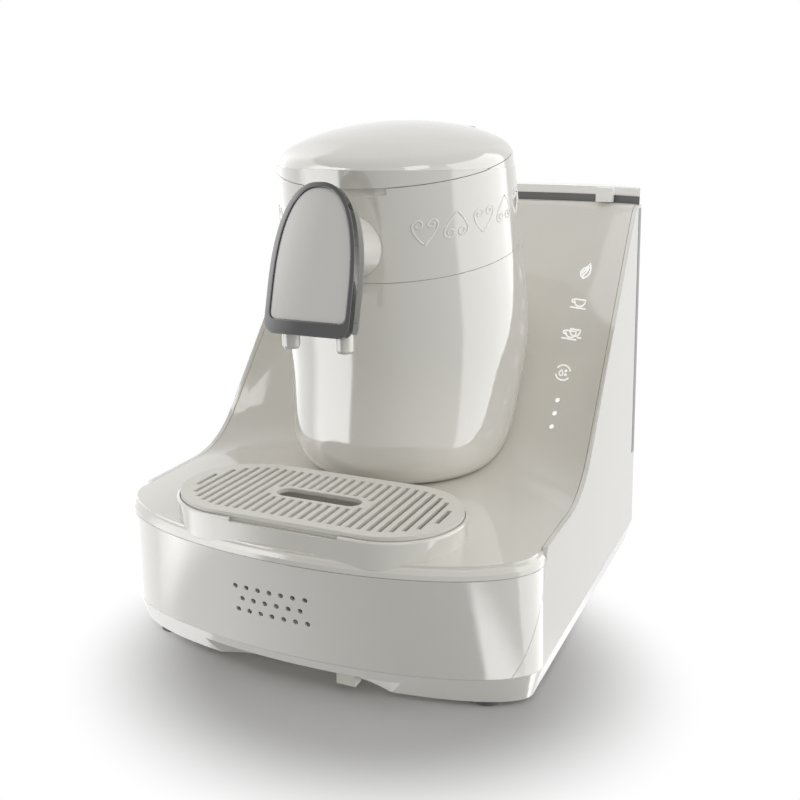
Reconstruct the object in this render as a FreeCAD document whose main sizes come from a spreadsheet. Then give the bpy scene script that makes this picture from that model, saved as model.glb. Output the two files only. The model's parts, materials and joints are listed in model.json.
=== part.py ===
import FreeCAD, Part
import Sketcher
import math
import os

from FreeCAD import Placement, Rotation, Vector

# An electric coffee maker for small cups: a bowed base with a drip tray, a barrel that holds
# the coffee pot under a hinged lid, a pouring head in front of it and a water tank behind it.
# X runs to the right, Y to the back and Z up. The origin is under the middle, on the table.
# All lengths are in millimetres, all angles in degrees.

SIZES = [
    ("overall_depth", 277.0, "front of the base to back of the tank"),
    ("housing_width", 218.0, "across the side panels at the foot of the wall"),
    ("wall_lean", 0.03, "how far a side wall leans in for each millimetre of height"),
    ("foot_height", 3.0, "rubber foot under the base pan"),
    ("foot_radius", 8.0, "rubber foot"),
    ("foot_spread", 85.0, "foot centre from the middle, along X"),
    ("foot_front", 38.5, "front foot centre behind the front"),
    ("foot_back", 232.0, "rear foot centre behind the front"),
    ("wall_foot", 17.5, "lower edge of the upright walls"),
    ("seam_height", 66.2, "seam between the front panel and the deck"),
    ("bow_seam", 44.6, "how far the front bows out at the seam"),
    ("bow_foot", 36.9, "how far the front bows out at the foot of the wall"),
    ("bow_pan", 27.5, "how far the underside bows out"),
    ("pan_inset", 4.0, "underside inside the side wall"),
    ("lip_radius", 5.6, "rolled front edge of the deck"),
    ("housing_back", 237.5, "back edge of the side panels behind the front"),
    ("shell_wall", 2.4, "wall of the housing shells"),
    ("seam_gap", 0.2, "gap between two shells at a seam"),
    ("side_seam_top", 51.2, "front edge of a side panel behind the front, at deck height"),
    ("side_seam_foot", 29.3, "the same at the foot of the wall"),
    ("deck_front", 71.5, "deck height at the front edge"),
    ("deck_edge", 73.5, "deck height beside the wings"),
    ("deck_crown", 3.5, "extra height of the deck in its middle"),
    ("wing_foot", 114.7, "corner between deck and wing slope behind the front"),
    ("wing_slope", 51.0, "angle of the wing edge"),
    ("wing_height", 208.2, "top of the wings"),
    ("wing_foot_radius", 50.0, "hollow between deck and wing"),
    ("wing_top_radius", 20.0, "rounding at the top of the wing edge"),
    ("trough_top_radius", 8.0, "rounding at the top of the back wall, in its middle"),
    ("trough_width", 210.0, "width of the hollow between the wings"),
    ("trough_depth", 24.0, "how far the back wall sits behind the wing edges"),
    ("tray_centre", 39.2, "tray centre behind the front"),
    ("tray_straight", 36.9, "half length of the tray's straight side"),
    ("plinth_radius", 35.4, "raised surround of the tray"),
    ("plinth_height", 81.9, "top of the surround"),
    ("plinth_rounding", 1.2, "rounded upper edge of the surround"),
    ("plinth_ledge", 78.4, "ledge in the surround"),
    ("plate_radius", 33.6, "grille plate"),
    ("plate_bottom", 81.7, "underside of the grille plate"),
    ("plate_top", 83.8, "top of the grille plate"),
    ("slot_radius", 27.8, "end of the slotted field of the plate"),
    ("slot_count", 27.0, "slots in the plate"),
    ("slot_width", 2.3, "one slot"),
    ("grip_length", 43.7, "finger slot in the plate, end to end"),
    ("grip_width", 10.5, "finger slot in the plate"),
    ("grip_rim", 2.6, "solid rim around the finger slot"),
    ("tray_radius", 30.6, "drip tray below its flange"),
    ("tray_floor", 59.0, "underside of the drip tray"),
    ("tray_wall", 1.5, "wall of the drip tray"),
    ("tray_flange", 33.3, "flange of the drip tray"),
    ("tray_play", 0.4, "free space around the drip tray"),
    ("notch_length", 54.4, "slit under the front of the plate"),
    ("notch_height", 1.8, "slit under the front of the plate"),
    ("barrel_foot_z", 75.0, "underside of the barrel"),
    ("barrel_foot_radius", 45.0, "barrel at its foot"),
    ("barrel_foot_y", 134.1, "barrel axis behind the front, at its foot"),
    ("barrel_knee_z", 84.0, "end of the rounded foot"),
    ("barrel_knee_radius", 55.6, "barrel above its rounded foot"),
    ("barrel_knee_y", 134.0, "axis there"),
    ("barrel_low_z", 101.0, "lower part of the barrel"),
    ("barrel_low_radius", 60.3, "barrel there"),
    ("barrel_low_y", 137.6, "axis there"),
    ("barrel_belly_z", 143.0, "widest part of the barrel"),
    ("barrel_belly_radius", 64.5, "barrel there"),
    ("barrel_belly_y", 143.6, "axis there"),
    ("barrel_chest_z", 178.0, "upper part of the barrel"),
    ("barrel_chest_radius", 63.4, "barrel there"),
    ("barrel_chest_y", 138.4, "axis there"),
    ("barrel_neck_z", 214.0, "neck of the barrel"),
    ("barrel_neck_radius", 61.0, "barrel there"),
    ("barrel_neck_y", 130.6, "axis there"),
    ("barrel_rim_z", 262.0, "where the barrel's sides would end without the lid"),
    ("barrel_rim_radius", 56.4, "barrel there"),
    ("barrel_rim_y", 124.0, "axis there"),
    ("barrel_wall", 2.8, "wall of the barrel"),
    ("seam_tilt", 12.0, "tilt of the barrel's seams, rising to the back"),
    ("band_seam", 193.0, "height over the origin of the lower barrel seam"),
    ("lid_seam", 238.5, "height over the origin of the lid seam"),
    ("dome_tilt", 6.4, "tilt of the lid's dome"),
    ("dome_base", 236.0, "height of the dome's base circle"),
    ("dome_radius", 58.8, "dome at its base circle"),
    ("dome_height", 17.2, "dome above its base circle"),
    ("lid_wall", 2.4, "wall of the lid"),
    ("lid_rim_depth", 4.0, "rim of the lid below the seam"),
    ("lid_rim_play", 1.6, "free space around the rim"),
    ("recess_width", 40.0, "finger recess under the front of the lid"),
    ("recess_height", 3.4, "finger recess"),
    ("recess_depth", 3.0, "finger recess"),
    ("hinge_y", 182.5, "lid hinge behind the front"),
    ("hinge_z", 247.8, "lid hinge above the table"),
    ("hinge_pin_radius", 1.5, "lid hinge pin"),
    ("hinge_knuckle", 3.2, "radius of the hinge knuckles"),
    ("hinge_length", 44.0, "lid hinge end to end"),
    ("hinge_play", 0.05, "gap around the hinge pin"),
    ("pot_radius", 44.0, "coffee pot at its mouth"),
    ("pot_floor_radius", 38.0, "coffee pot at its floor"),
    ("pot_floor", 119.0, "underside of the coffee pot"),
    ("pot_mouth", 210.4, "mouth of the coffee pot"),
    ("pot_wall", 1.2, "wall of the coffee pot"),
    ("pot_flange", 48.0, "flange of the coffee pot"),
    ("pot_y", 134.0, "pot axis behind the front"),
    ("collar_thickness", 2.4, "collar that carries the pot in the barrel"),
    ("collar_top", 209.0, "top of the collar"),
    ("heater_thickness", 6.0, "heater plate under the pot"),
    ("element_radius", 22.0, "ring of the heating element"),
    ("element_wire", 3.2, "radius of the heating element"),
    ("carrier_thickness", 2.0, "plate of the heater carrier"),
    ("carrier_radius", 34.0, "plate of the heater carrier"),
    ("post_radius", 4.0, "posts of the heater carrier"),
    ("riser_y", 102.0, "riser tube in the pot, behind the front"),
    ("riser_radius", 3.0, "outside of the riser tube"),
    ("riser_bore", 2.2, "inside of the riser tube"),
    ("riser_foot", 124.0, "lower end of the riser tube"),
    ("riser_bend", 8.0, "bend of the riser tube"),
    ("spout_front", 31.1, "pouring head's front plane behind the front, at its lower corner"),
    ("spout_z", 171.0, "lower corner of the face panel"),
    ("face_half_width", 18.8, "face panel"),
    ("face_height", 56.7, "face panel above its lower corner"),
    ("face_shoulder", 10.0, "where the arch of the face panel starts"),
    ("face_corner", 3.0, "lower corners of the face panel"),
    ("face_drop", 2.2, "face panel below its corner points"),
    ("arch_power", 2.4, "fullness of the arch, 2 is an ellipse"),
    ("ring_width", 2.3, "chrome ring beside the face panel"),
    ("ring_chin", 6.6, "chrome ring under the face panel"),
    ("ring_depth", 4.6, "chrome ring, front to back"),
    ("cover_depth", 17.5, "pouring head, front to back"),
    ("cover_shoulder", 8.5, "straight side of the pouring head, front to back"),
    ("cover_lip", 0.6, "cover outside the chrome ring"),
    ("cover_wall", 1.8, "wall of the pouring head"),
    ("boss_rise", 27.6, "boss above the face panel's corner, along the panel"),
    ("boss_radius", 16.5, "dome of the boss at the barrel"),
    ("boss_neck", 9.0, "neck of the boss"),
    ("boss_length", 21.0, "boss from the barrel to the pouring head"),
    ("nozzle_spread", 13.7, "nozzle from the middle, along X"),
    ("nozzle_y", 41.1, "nozzles behind the front"),
    ("nozzle_tip", 153.6, "lower end of the nozzles"),
    ("nozzle_top", 165.2, "upper end of the nozzles"),
    ("nozzle_radius", 4.1, "nozzle"),
    ("nozzle_bore", 2.4, "bore of a nozzle"),
    ("tank_half_width", 102.0, "water tank"),
    ("tank_front", 238.2, "front corner of the tank behind the front of the base"),
    ("tank_hollow", 13.0, "how far the tank's front wall follows the back wall"),
    ("tank_bottom", 48.0, "underside of the tank"),
    ("tank_rim", 212.0, "rim of the tank"),
    ("tank_wall", 2.0, "wall of the tank"),
    ("tank_play", 0.6, "free space around the tank"),
    ("tank_lid_height", 4.7, "lid of the tank"),
    ("tab_x", 77.0, "lift tab from the middle"),
    ("tab_width", 9.6, "lift tab"),
    ("socket_radius", 9.0, "tank socket"),
    ("valve_radius", 4.0, "stem of the tank valve"),
    ("valve_travel", 3.0, "travel of the tank valve"),
    ("float_radius", 7.4, "float in the tank"),
    ("float_x", 60.0, "float from the middle"),
    ("speaker_x", -6.8, "sound holes' centre"),
    ("speaker_z", 43.1, "sound holes' centre"),
    ("speaker_pitch_x", 6.08, "sound holes along a row"),
    ("speaker_pitch_z", 6.25, "rows of sound holes"),
    ("speaker_hole", 1.25, "radius of a sound hole"),
    ("speaker_radius", 12.0, "speaker"),
    ("speaker_depth", 10.0, "speaker"),
    ("symbol_x", 80.0, "touch symbols and lights from the middle"),
    ("light_low", 97.5, "lowest light above the table"),
    ("light_pitch", 6.05, "between two lights"),
    ("light_radius", 1.3, "one light"),
    ("film_width", 22.0, "touch film behind the back wall"),
    ("film_low", 92.0, "lower edge of the touch film"),
    ("film_high", 182.0, "upper edge of the touch film"),
    ("film_thickness", 1.0, "touch film"),
    ("board_width", 80.0, "control board along X"),
    ("board_depth", 60.0, "control board along Y"),
    ("board_thickness", 1.6, "control board"),
    ("board_x", -62.0, "control board's centre"),
    ("board_y", 205.0, "control board's centre behind the front"),
    ("board_lift", 8.0, "stand-offs under the control board"),
    ("pump_x", 66.0, "pump axis"),
    ("pump_y", 196.0, "middle of the pump behind the front"),
    ("pump_radius", 17.0, "body of the pump"),
    ("pump_length", 56.0, "body of the pump"),
    ("hose_radius", 3.0, "silicone hoses"),
    ("hose_bore", 1.8, "silicone hoses"),
    ("inlet_x", -70.0, "cord inlet"),
    ("inlet_z", 26.0, "cord inlet"),
    ("head_lean", 15.0, "how far the pouring head leans back"),
    ("scoop_half_length", 57.0, "finger scoop under the front"),
    ("scoop_height", 11.0, "top of the finger scoop"),
    ("scoop_reach", 20.0, "finger scoop, front to back"),
    ("screw_radius", 1.8, "screws"),
]

doc = FreeCAD.newDocument("coffee_maker")
sheet = doc.addObject("Spreadsheet::Sheet", "dims")
for row, (alias, amount, note) in enumerate(SIZES, start=1):
    sheet.set("A%d" % row, alias)
    sheet.set("B%d" % row, str(amount))
    sheet.setAlias("B%d" % row, alias)
    sheet.set("C%d" % row, note)
doc.recompute()


class Size:
    """A length with the formula over the sheet's cells that gives it."""

    def __init__(self, value, text):
        self.value = float(value)
        self.text = text

    def __add__(self, other):
        other = as_size(other)
        return Size(self.value + other.value, "(%s + %s)" % (self.text, other.text))

    def __sub__(self, other):
        other = as_size(other)
        return Size(self.value - other.value, "(%s - %s)" % (self.text, other.text))

    def __mul__(self, other):
        other = as_size(other)
        return Size(self.value * other.value, "(%s * %s)" % (self.text, other.text))

    def __truediv__(self, other):
        other = as_size(other)
        return Size(self.value / other.value, "(%s / %s)" % (self.text, other.text))

    def __neg__(self):
        return Size(-self.value, "(0 - %s)" % self.text)

    def __rmul__(self, other):
        return as_size(other) * self

    def __rsub__(self, other):
        return as_size(other) - self

    def __radd__(self, other):
        return as_size(other) + self


def as_size(thing):
    """Any number or Size as a Size."""
    if isinstance(thing, Size):
        return thing
    return Size(thing, "(%r)" % float(thing))


class Dims:
    """The sheet's cells by name: dims.name is a Size, dims.val(name) a plain number."""

    def __getattr__(self, name):
        return Size(sheet.get(name), "dims." + name)

    def val(self, name):
        return float(sheet.get(name))


dims = Dims()
val = dims.val
front = -(dims.overall_depth / 2)
nodes = []


def behind(name):
    """The Y place of a size that is given as a distance behind the front."""
    return front + getattr(dims, name)


def keep(item, label):
    """Names a finished sub-part and lists it for writing."""
    item.Label = label
    nodes.append(item)
    return item


def bind(item, **sizes):
    """Binds an object's size properties to formulas."""
    for name, amount in sizes.items():
        item.setExpression(name, as_size(amount).text)


def put(item, x=0, y=0, z=0, axis=None, angle=None):
    """Binds an object's place, and turns it if asked."""
    if axis is not None:
        item.Placement = Placement(Vector(0, 0, 0), Rotation(axis, as_size(angle).value))
    for letter, amount in zip("xyz", (x, y, z)):
        item.setExpression("Placement.Base." + letter, as_size(amount).text)
    return item


def box(name, length, width, height, x=0, y=0, z=0):
    """A box whose lower front left corner is given."""
    item = doc.addObject("Part::Box", name)
    bind(item, Length=length, Width=width, Height=height)
    return put(item, x, y, z)


def cylinder(name, radius, height, x=0, y=0, z=0, axis=None, angle=None):
    """An upright cylinder, or one that is turned about an axis."""
    item = doc.addObject("Part::Cylinder", name)
    bind(item, Radius=radius, Height=height)
    return put(item, x, y, z, axis, angle)


def cut(name, base, tool):
    item = doc.addObject("Part::Cut", name)
    item.Base = base
    item.Tool = tool
    return item


def fuse(name, pieces):
    item = doc.addObject("Part::MultiFuse", name)
    item.Shapes = pieces
    return item


def group(name, pieces):
    """Separate solids that share one node."""
    item = doc.addObject("Part::Compound", name)
    item.Links = pieces
    return item


def feature(name, shape):
    """A sculpted shape that no primitive or body fits."""
    item = doc.addObject("Part::Feature", name)
    item.Shape = shape
    return item


def body(name):
    return doc.addObject("PartDesign::Body", name)


def sketch_on(owner, name, role, lift=None):
    """A sketch on one of a body's own origin planes, raised along its normal if asked."""
    plane = [part for part in owner.Origin.OriginFeatures if part.Role == role][0]
    item = owner.newObject("Sketcher::SketchObject", name)
    item.AttachmentSupport = (plane, "")
    item.MapMode = "FlatFace"
    if lift is not None:
        item.setExpression("AttachmentOffset.Base.z", as_size(lift).text)
    return item


def add_circle(sketch, radius, x=0, y=0):
    """A circle held by its radius and by its centre's two distances from the origin."""
    radius, x, y = as_size(radius), as_size(x), as_size(y)
    centre = Vector(x.value, y.value, 0)
    index = sketch.addGeometry(Part.Circle(centre, Vector(0, 0, 1), radius.value))
    held = sketch.addConstraint(Sketcher.Constraint("Radius", index, radius.value))
    sketch.setExpression("Constraints[%d]" % held, radius.text)
    hold_point(sketch, index, 3, x, y)


def hold_point(sketch, index, point, x, y):
    """Holds a point of a sketch at two formulas."""
    for kind, amount in (("DistanceX", x), ("DistanceY", y)):
        held = sketch.addConstraint(Sketcher.Constraint(kind, -1, 1, index, point, amount.value))
        sketch.setExpression("Constraints[%d]" % held, amount.text)


def add_polygon(sketch, points):
    """A closed outline whose corners are held at formulas."""
    corners = [(as_size(x), as_size(y)) for x, y in points]
    first = None
    for number, (x, y) in enumerate(corners):
        next_x, next_y = corners[(number + 1) % len(corners)]
        line = Part.LineSegment(Vector(x.value, y.value, 0), Vector(next_x.value, next_y.value, 0))
        index = sketch.addGeometry(line)
        hold_point(sketch, index, 1, x, y)
        if first is None:
            first = index
        else:
            sketch.addConstraint(Sketcher.Constraint("Coincident", index - 1, 2, index, 1))
    sketch.addConstraint(Sketcher.Constraint("Coincident", index, 2, first, 1))


def add_slot(sketch, half_straight, radius, x=0, y=0):
    """A stadium outline along X: two straight sides and two half circles."""
    half, radius, x, y = as_size(half_straight), as_size(radius), as_size(x), as_size(y)
    ends = []
    for sign in (1, -1):
        centre = x + half * sign
        start = -math.pi / 2 if sign > 0 else math.pi / 2
        circle = Part.Circle(Vector(centre.value, y.value, 0), Vector(0, 0, 1), radius.value)
        index = sketch.addGeometry(Part.ArcOfCircle(circle, start, start + math.pi))
        hold_point(sketch, index, 3, centre, y)
        held = sketch.addConstraint(Sketcher.Constraint("Radius", index, radius.value))
        sketch.setExpression("Constraints[%d]" % held, radius.text)
        ends.append(index)
    for begin, finish in ((0, 1), (1, 0)):
        here, there = ends[begin], ends[finish]
        tip = sketch.getPoint(here, 2)
        goal = sketch.getPoint(there, 1)
        line = sketch.addGeometry(Part.LineSegment(tip, goal))
        sketch.addConstraint(Sketcher.Constraint("Tangent", here, 2, line, 1))
        sketch.addConstraint(Sketcher.Constraint("Tangent", line, 2, there, 1))


def pad(owner, name, sketch, length):
    item = owner.newObject("PartDesign::Pad", name)
    item.Profile = sketch
    bind(item, Length=length)
    return item


def pocket(owner, name, sketch, length, upward):
    """Cuts a sketch into a body, towards plus or minus the sketch's normal."""
    item = owner.newObject("PartDesign::Pocket", name)
    item.Profile = sketch
    item.Reversed = upward
    bind(item, Length=length)
    return item


def revolve(owner, name, sketch):
    """Turns a sketch of the XZ plane about the upright axis."""
    item = owner.newObject("PartDesign::Revolution", name)
    item.Profile = sketch
    item.ReferenceAxis = (sketch, ["V_Axis"])
    item.Angle = 360.0
    return item


def turned(name, points, x=0, y=0, z=0):
    """A body that is one turned profile, given as radius and height pairs."""
    owner = body(name)
    outline = sketch_on(owner, name + "_outline", "XZ_Plane")
    add_polygon(outline, points)
    revolve(owner, name + "_turn", outline)
    return put(owner, x, y, z)


# Sculpted shapes, worked out from the same cells


HALF_WIDTH = val("housing_width") / 2
FRONT = -val("overall_depth") / 2
BOW_Y = FRONT + val("bow_seam")
BACK_Y = FRONT + val("housing_back")
WALL = val("shell_wall")
GAP = val("seam_gap")
FAR = 2 * val("overall_depth")


def width_at(height):
    """Half the width of the housing at a height."""
    return HALF_WIDTH - val("wall_lean") * max(height - val("wall_foot"), 0)


def plan(half_width, bow, back, height):
    """The base seen from above: a bowed front, straight sides and a straight back."""
    bowed = Part.Arc(Part.Ellipse(Vector(0, BOW_Y, height), half_width, bow), math.pi, 2 * math.pi)
    right_front = Vector(half_width, BOW_Y, height)
    right_back = Vector(half_width, back, height)
    left_back = Vector(-half_width, back, height)
    left_front = Vector(-half_width, BOW_Y, height)
    sides = Part.makePolygon([right_front, right_back, left_back, left_front])
    return Part.Wire([bowed.toShape()] + sides.Edges)


def housing_block(inset, back=None):
    """The housing's outer form as a solid, or a smaller one inside it."""
    top = val("tank_rim") + val("tank_lid_height")
    back = BACK_Y - inset if back is None else back
    levels = [(val("wall_foot"), val("bow_foot")), (val("seam_height"), val("bow_seam")),
              (top, val("bow_seam"))]
    wires = [plan(width_at(z) - inset, bow - inset, back, z) for z, bow in levels]
    return Part.makeLoft(wires, True, True)


def rounded_wire(corners):
    """A closed wire through corners given as point and radius; radius 0 stays sharp."""
    pieces = []
    count = len(corners)
    starts, stops = [], []
    for number, (corner, radius) in enumerate(corners):
        before = corners[number - 1][0]
        after = corners[(number + 1) % count][0]
        into = (before - corner).normalize()
        out = (after - corner).normalize()
        turn = into.getAngle(out)
        reach = radius / math.tan(turn / 2)
        starts.append(corner + into * reach)
        stops.append(corner + out * reach)
    for number, (corner, radius) in enumerate(corners):
        if radius:
            bisector = (starts[number] + stops[number]) * 0.5 - corner
            half = (starts[number] - corner).getAngle(bisector)
            middle = corner + bisector.normalize() * (radius / math.sin(half) - radius)
            pieces.append(Part.Arc(starts[number], middle, stops[number]).toShape())
        pieces.append(Part.makeLine(stops[number], starts[(number + 1) % count]))
    return Part.Wire(pieces)


def hollow(x):
    """How much of the hollow between the wings is reached at x, from 0 to 1."""
    share = min(abs(x) / (val("trough_width") / 2), 1.0)
    return 1 - share ** 4


def back_wall_y(x, z):
    """The place of the back wall's surface at x and z, on its straight slope."""
    foot = FRONT + val("wing_foot") + val("trough_depth") * hollow(x)
    return foot + (z - val("deck_edge")) / math.tan(math.radians(val("wing_slope")))


def sweep_wire(x, sink):
    """The open space over deck and back wall, cut at x; sink lowers its floor."""
    share = hollow(x)
    low = val("deck_edge") + val("deck_crown") * share
    edge = back_wall_y(x, low)
    top = back_wall_y(x, val("wing_height"))
    top_radius = val("wing_top_radius") + (val("trough_top_radius") - val("wing_top_radius")) * share
    back = FAR - sink
    corners = [
        (Vector(x, FRONT - WALL - sink, val("deck_front")), 0),
        (Vector(x, edge, low), val("wing_foot_radius")),
        (Vector(x, top, val("wing_height")), top_radius),
        (Vector(x, back, val("wing_height")), 0),
        (Vector(x, back, FAR), 0),
        (Vector(x, FRONT - WALL - sink, FAR), 0),
    ]
    wire = rounded_wire(corners)
    wire.translate(Vector(0, sink, -sink))
    return wire


def sweep_tool(sink):
    """The open space over deck and back wall as one solid."""
    half = val("trough_width") / 2
    shares = (1, 0.96, 0.88, 0.76, 0.6, 0.4, 0.2)
    places = [-half * share for share in shares] + [0.0] + [half * share for share in reversed(shares)]
    middle = Part.makeLoft([sweep_wire(x, sink) for x in places], True, False)
    reach = Vector(HALF_WIDTH - half + WALL, 0, 0)
    right = Part.Face(sweep_wire(half, sink)).extrude(reach)
    left = Part.Face(sweep_wire(-half, sink)).extrude(-reach)
    return middle.fuse([right, left])


def front_sector(offset):
    """The space in front of the slanted seams between front panel and side panels."""
    low, high = val("wall_foot"), val("wing_height")
    deck = val("deck_edge")
    top, foot = FRONT + val("side_seam_top"), FRONT + val("side_seam_foot")
    slant = (top - foot) / (deck - low)
    points = [(-FAR, low - FAR), (foot - slant * FAR, low - FAR), (top + slant * (high - deck), high),
              (-FAR, high)]
    corners = [Vector(-FAR, y + offset, z) for y, z in points]
    return Part.Face(Part.makePolygon(corners + corners[:1])).extrude(Vector(2 * FAR, 0, 0))


def slab(low, high):
    """All space between two heights."""
    return Part.makeBox(2 * FAR, 2 * FAR, high - low, Vector(-FAR, -FAR, low))


def stadium(radius, low, high, half=None):
    """An upright stadium over the tray's centre."""
    half = val("tray_straight") if half is None else half
    centre = FRONT + val("tray_centre")
    block = Part.makeBox(2 * half, 2 * radius, high - low, Vector(-half, centre - radius, low))
    ends = [Part.makeCylinder(radius, high - low, Vector(side * half, centre, low)) for side in (-1, 1)]
    return block.fuse(ends).removeSplitter()


BARREL = ("foot", "knee", "low", "belly", "chest", "neck", "rim")


def barrel_at(height):
    """Radius and axis place of the barrel at a height, by straight steps between its sections."""
    levels = [(val("barrel_%s_z" % name), val("barrel_%s_radius" % name), FRONT + val("barrel_%s_y" % name))
              for name in BARREL]
    for low, high in zip(levels, levels[1:]):
        if height <= high[0]:
            break
    share = (height - low[0]) / (high[0] - low[0])
    return low[1] + (high[1] - low[1]) * share, low[2] + (high[2] - low[2]) * share


def barrel_block(inset):
    """The barrel's outer form as a solid, or a smaller one inside it."""
    wires = []
    for name in BARREL:
        centre = Vector(0, FRONT + val("barrel_%s_y" % name), val("barrel_%s_z" % name))
        circle = Part.Circle(centre, Vector(0, 0, 1), val("barrel_%s_radius" % name) - inset)
        wires.append(Part.Wire(circle.toShape()))
    return Part.makeLoft(wires, True, False)


def under_seam(height, tilt="seam_tilt"):
    """All space under a seam plane that rises to the back."""
    block = Part.makeBox(2 * FAR, 2 * FAR, FAR, Vector(-FAR, -FAR, -FAR))
    block.rotate(Vector(0, 0, 0), Vector(1, 0, 0), val(tilt))
    block.translate(Vector(0, 0, height))
    return block


def dome_block(inset):
    """The lid's dome as a solid, turned about an axis that leans back a little."""
    radius, height = val("dome_radius") - inset, val("dome_height") - inset
    skirt = val("lid_rim_depth") * 3
    slim = [(1.0, 0.0), (0.974, 0.2), (0.925, 0.36), (0.85, 0.49), (0.68, 0.70), (0.5, 0.845),
            (0.25, 0.965), (0.0, 1.0)]
    curve = Part.BSplineCurve()
    curve.interpolate([Vector(radius * share, 0, height * rise) for share, rise in slim])
    top = Vector(0, 0, height)
    foot = Vector(0, 0, -skirt)
    skirt_edge = Vector(radius + skirt * 0.1, 0, -skirt)
    outline = Part.Wire([curve.toShape(), Part.makeLine(top, foot), Part.makeLine(foot, skirt_edge),
                         Part.makeLine(skirt_edge, Vector(radius, 0, 0))])
    block = Part.Face(outline).revolve(Vector(0, 0, 0), Vector(0, 0, 1), 360)
    block.rotate(Vector(0, 0, 0), Vector(1, 0, 0), val("dome_tilt"))
    axis_y = barrel_at(val("dome_base"))[1]
    block.translate(Vector(0, axis_y, val("dome_base")))
    return block


def arch_wire(grow, chin, depth):
    """The face panel's arched outline, grown all round, in the pouring head's own plane."""
    half = val("face_half_width") + grow
    rise = val("face_height") - val("face_shoulder") + grow
    power = val("arch_power")
    low = -val("face_drop") - chin
    radius = max(val("face_corner") + grow, 1.0)
    steps = 12
    right = []
    for step in range(steps + 1):
        angle = math.pi / 2 * step / steps
        x = half * math.cos(angle) ** (2 / power)
        right.append(Vector(x, depth, val("face_shoulder") + rise * math.sin(angle) ** (2 / power)))
    left = [Vector(-point.x, depth, point.z) for point in reversed(right[:-1])]
    arch = Part.BSplineCurve()
    arch.interpolate(right + left)
    lean = 1 / math.sqrt(2)
    foot_right = [Vector(half, depth, low + radius), Vector(half - radius, depth, low)]
    bend_right = Vector(half - radius + radius * lean, depth, low + radius - radius * lean)
    foot_left = [Vector(-half + radius, depth, low), Vector(-half, depth, low + radius)]
    bend_left = Vector(-bend_right.x, depth, bend_right.z)
    return Part.Wire([
        arch.toShape(),
        Part.makeLine(left[-1], foot_left[1]),
        Part.Arc(foot_left[1], bend_left, foot_left[0]).toShape(),
        Part.makeLine(foot_left[0], foot_right[1]),
        Part.Arc(foot_right[1], bend_right, foot_right[0]).toShape(),
        Part.makeLine(foot_right[0], right[0]),
    ])


def arch_block(grow, chin, near, far):
    """The arched outline as a slab between two depths."""
    return Part.Face(arch_wire(grow, chin, near)).extrude(Vector(0, far - near, 0))


def place_on_head(item):
    """Puts a piece drawn in the pouring head's plane where the head is."""
    turn = Rotation(Vector(-1, 0, 0), val("head_lean"))
    item.Placement = Placement(Vector(0, FRONT + val("spout_front"), val("spout_z")), turn)
    return item


def on_head(x, depth, rise):
    """A point of the pouring head's plane in the object's frame."""
    turn = Rotation(Vector(-1, 0, 0), val("head_lean"))
    origin = Vector(0, FRONT + val("spout_front"), val("spout_z"))
    return origin + turn.multVec(Vector(x, depth, rise))


def rear_wire(inset, height, hollow_depth):
    """The tank seen from above: its front follows the back wall, its back is a broad arch."""
    half = val("tank_half_width") - inset
    front_y = FRONT + val("tank_front") + inset
    back_y = -FRONT - inset
    steps = 8
    ahead, behind_points = [], []
    for step in range(-steps, steps + 1):
        share = step / steps
        x = half * share
        ahead.append(Vector(x, front_y + hollow_depth * (1 - share ** 4), height))
        angle = math.pi / 2 * (1 - share)
        behind_points.append(Vector(half * math.cos(angle), front_y, height))
    arch = [Vector(point.x, front_y + (back_y - front_y) * (1 - abs(point.x / half) ** 3) ** 0.6, height)
            for point in behind_points]
    near, far_side = Part.BSplineCurve(), Part.BSplineCurve()
    near.interpolate(ahead)
    far_side.interpolate(arch)
    return Part.Wire([near.toShape(), far_side.toShape()])


def rear_block(inset, low, high, hollow_depth):
    wire = rear_wire(inset, low, hollow_depth)
    return Part.Face(wire).extrude(Vector(0, 0, high - low))


# The shells of the housing


tool = sweep_tool(0.0)
sunk_tool = sweep_tool(WALL)
outer = housing_block(0.0)
inner = housing_block(WALL)
raised_tool = tool.copy()
raised_tool.translate(Vector(0, -GAP, GAP))
barrel_outer = barrel_block(0.0)
barrel_inner = barrel_block(val("barrel_wall"))
barrel_part = slab(0.0, val("dome_base") - val("lid_rim_depth"))
head_form = barrel_outer.common(dome_block(0.0).fuse(barrel_part))
head_space = barrel_inner.common(dome_block(val("lid_wall")).fuse(barrel_part))


def largest(shape):
    """The biggest solid of a shape, without crumbs."""
    return max(shape.Solids, key=lambda solid: solid.Volume)


def make_side_panels():
    """The two side panels with their wings."""
    ring = outer.cut(housing_block(WALL, -FRONT)).cut(tool).cut(front_sector(GAP / 2))
    ring = ring.common(slab(val("wall_foot") + GAP / 6, val("wing_height") - GAP))
    for side, name in ((1, "side_panel_right"), (-1, "side_panel_left")):
        half_space = Part.makeBox(FAR, 2 * FAR, FAR, Vector(0 if side > 0 else -FAR, -FAR, 0))
        keep(feature(name, largest(ring.common(half_space))), name)


def make_front_panel():
    """The bowed front panel with its sound holes."""
    panel = outer.cut(inner).common(front_sector(-GAP / 2))
    panel = panel.common(slab(val("wall_foot") + GAP / 6, val("seam_height") - GAP / 2))
    holes = []
    for row, count in ((1, 7), (0, 6), (-1, 7)):
        for number in range(count):
            x = val("speaker_x") + (number - (count - 1) / 2) * val("speaker_pitch_x")
            z = val("speaker_z") + row * val("speaker_pitch_z")
            start = Vector(x, FRONT - WALL, z)
            holes.append(Part.makeCylinder(val("speaker_hole"), 6 * WALL, start, Vector(0, 1, 0)))
    keep(feature("front_panel", largest(panel.cut(holes))), "front_panel")


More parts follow.
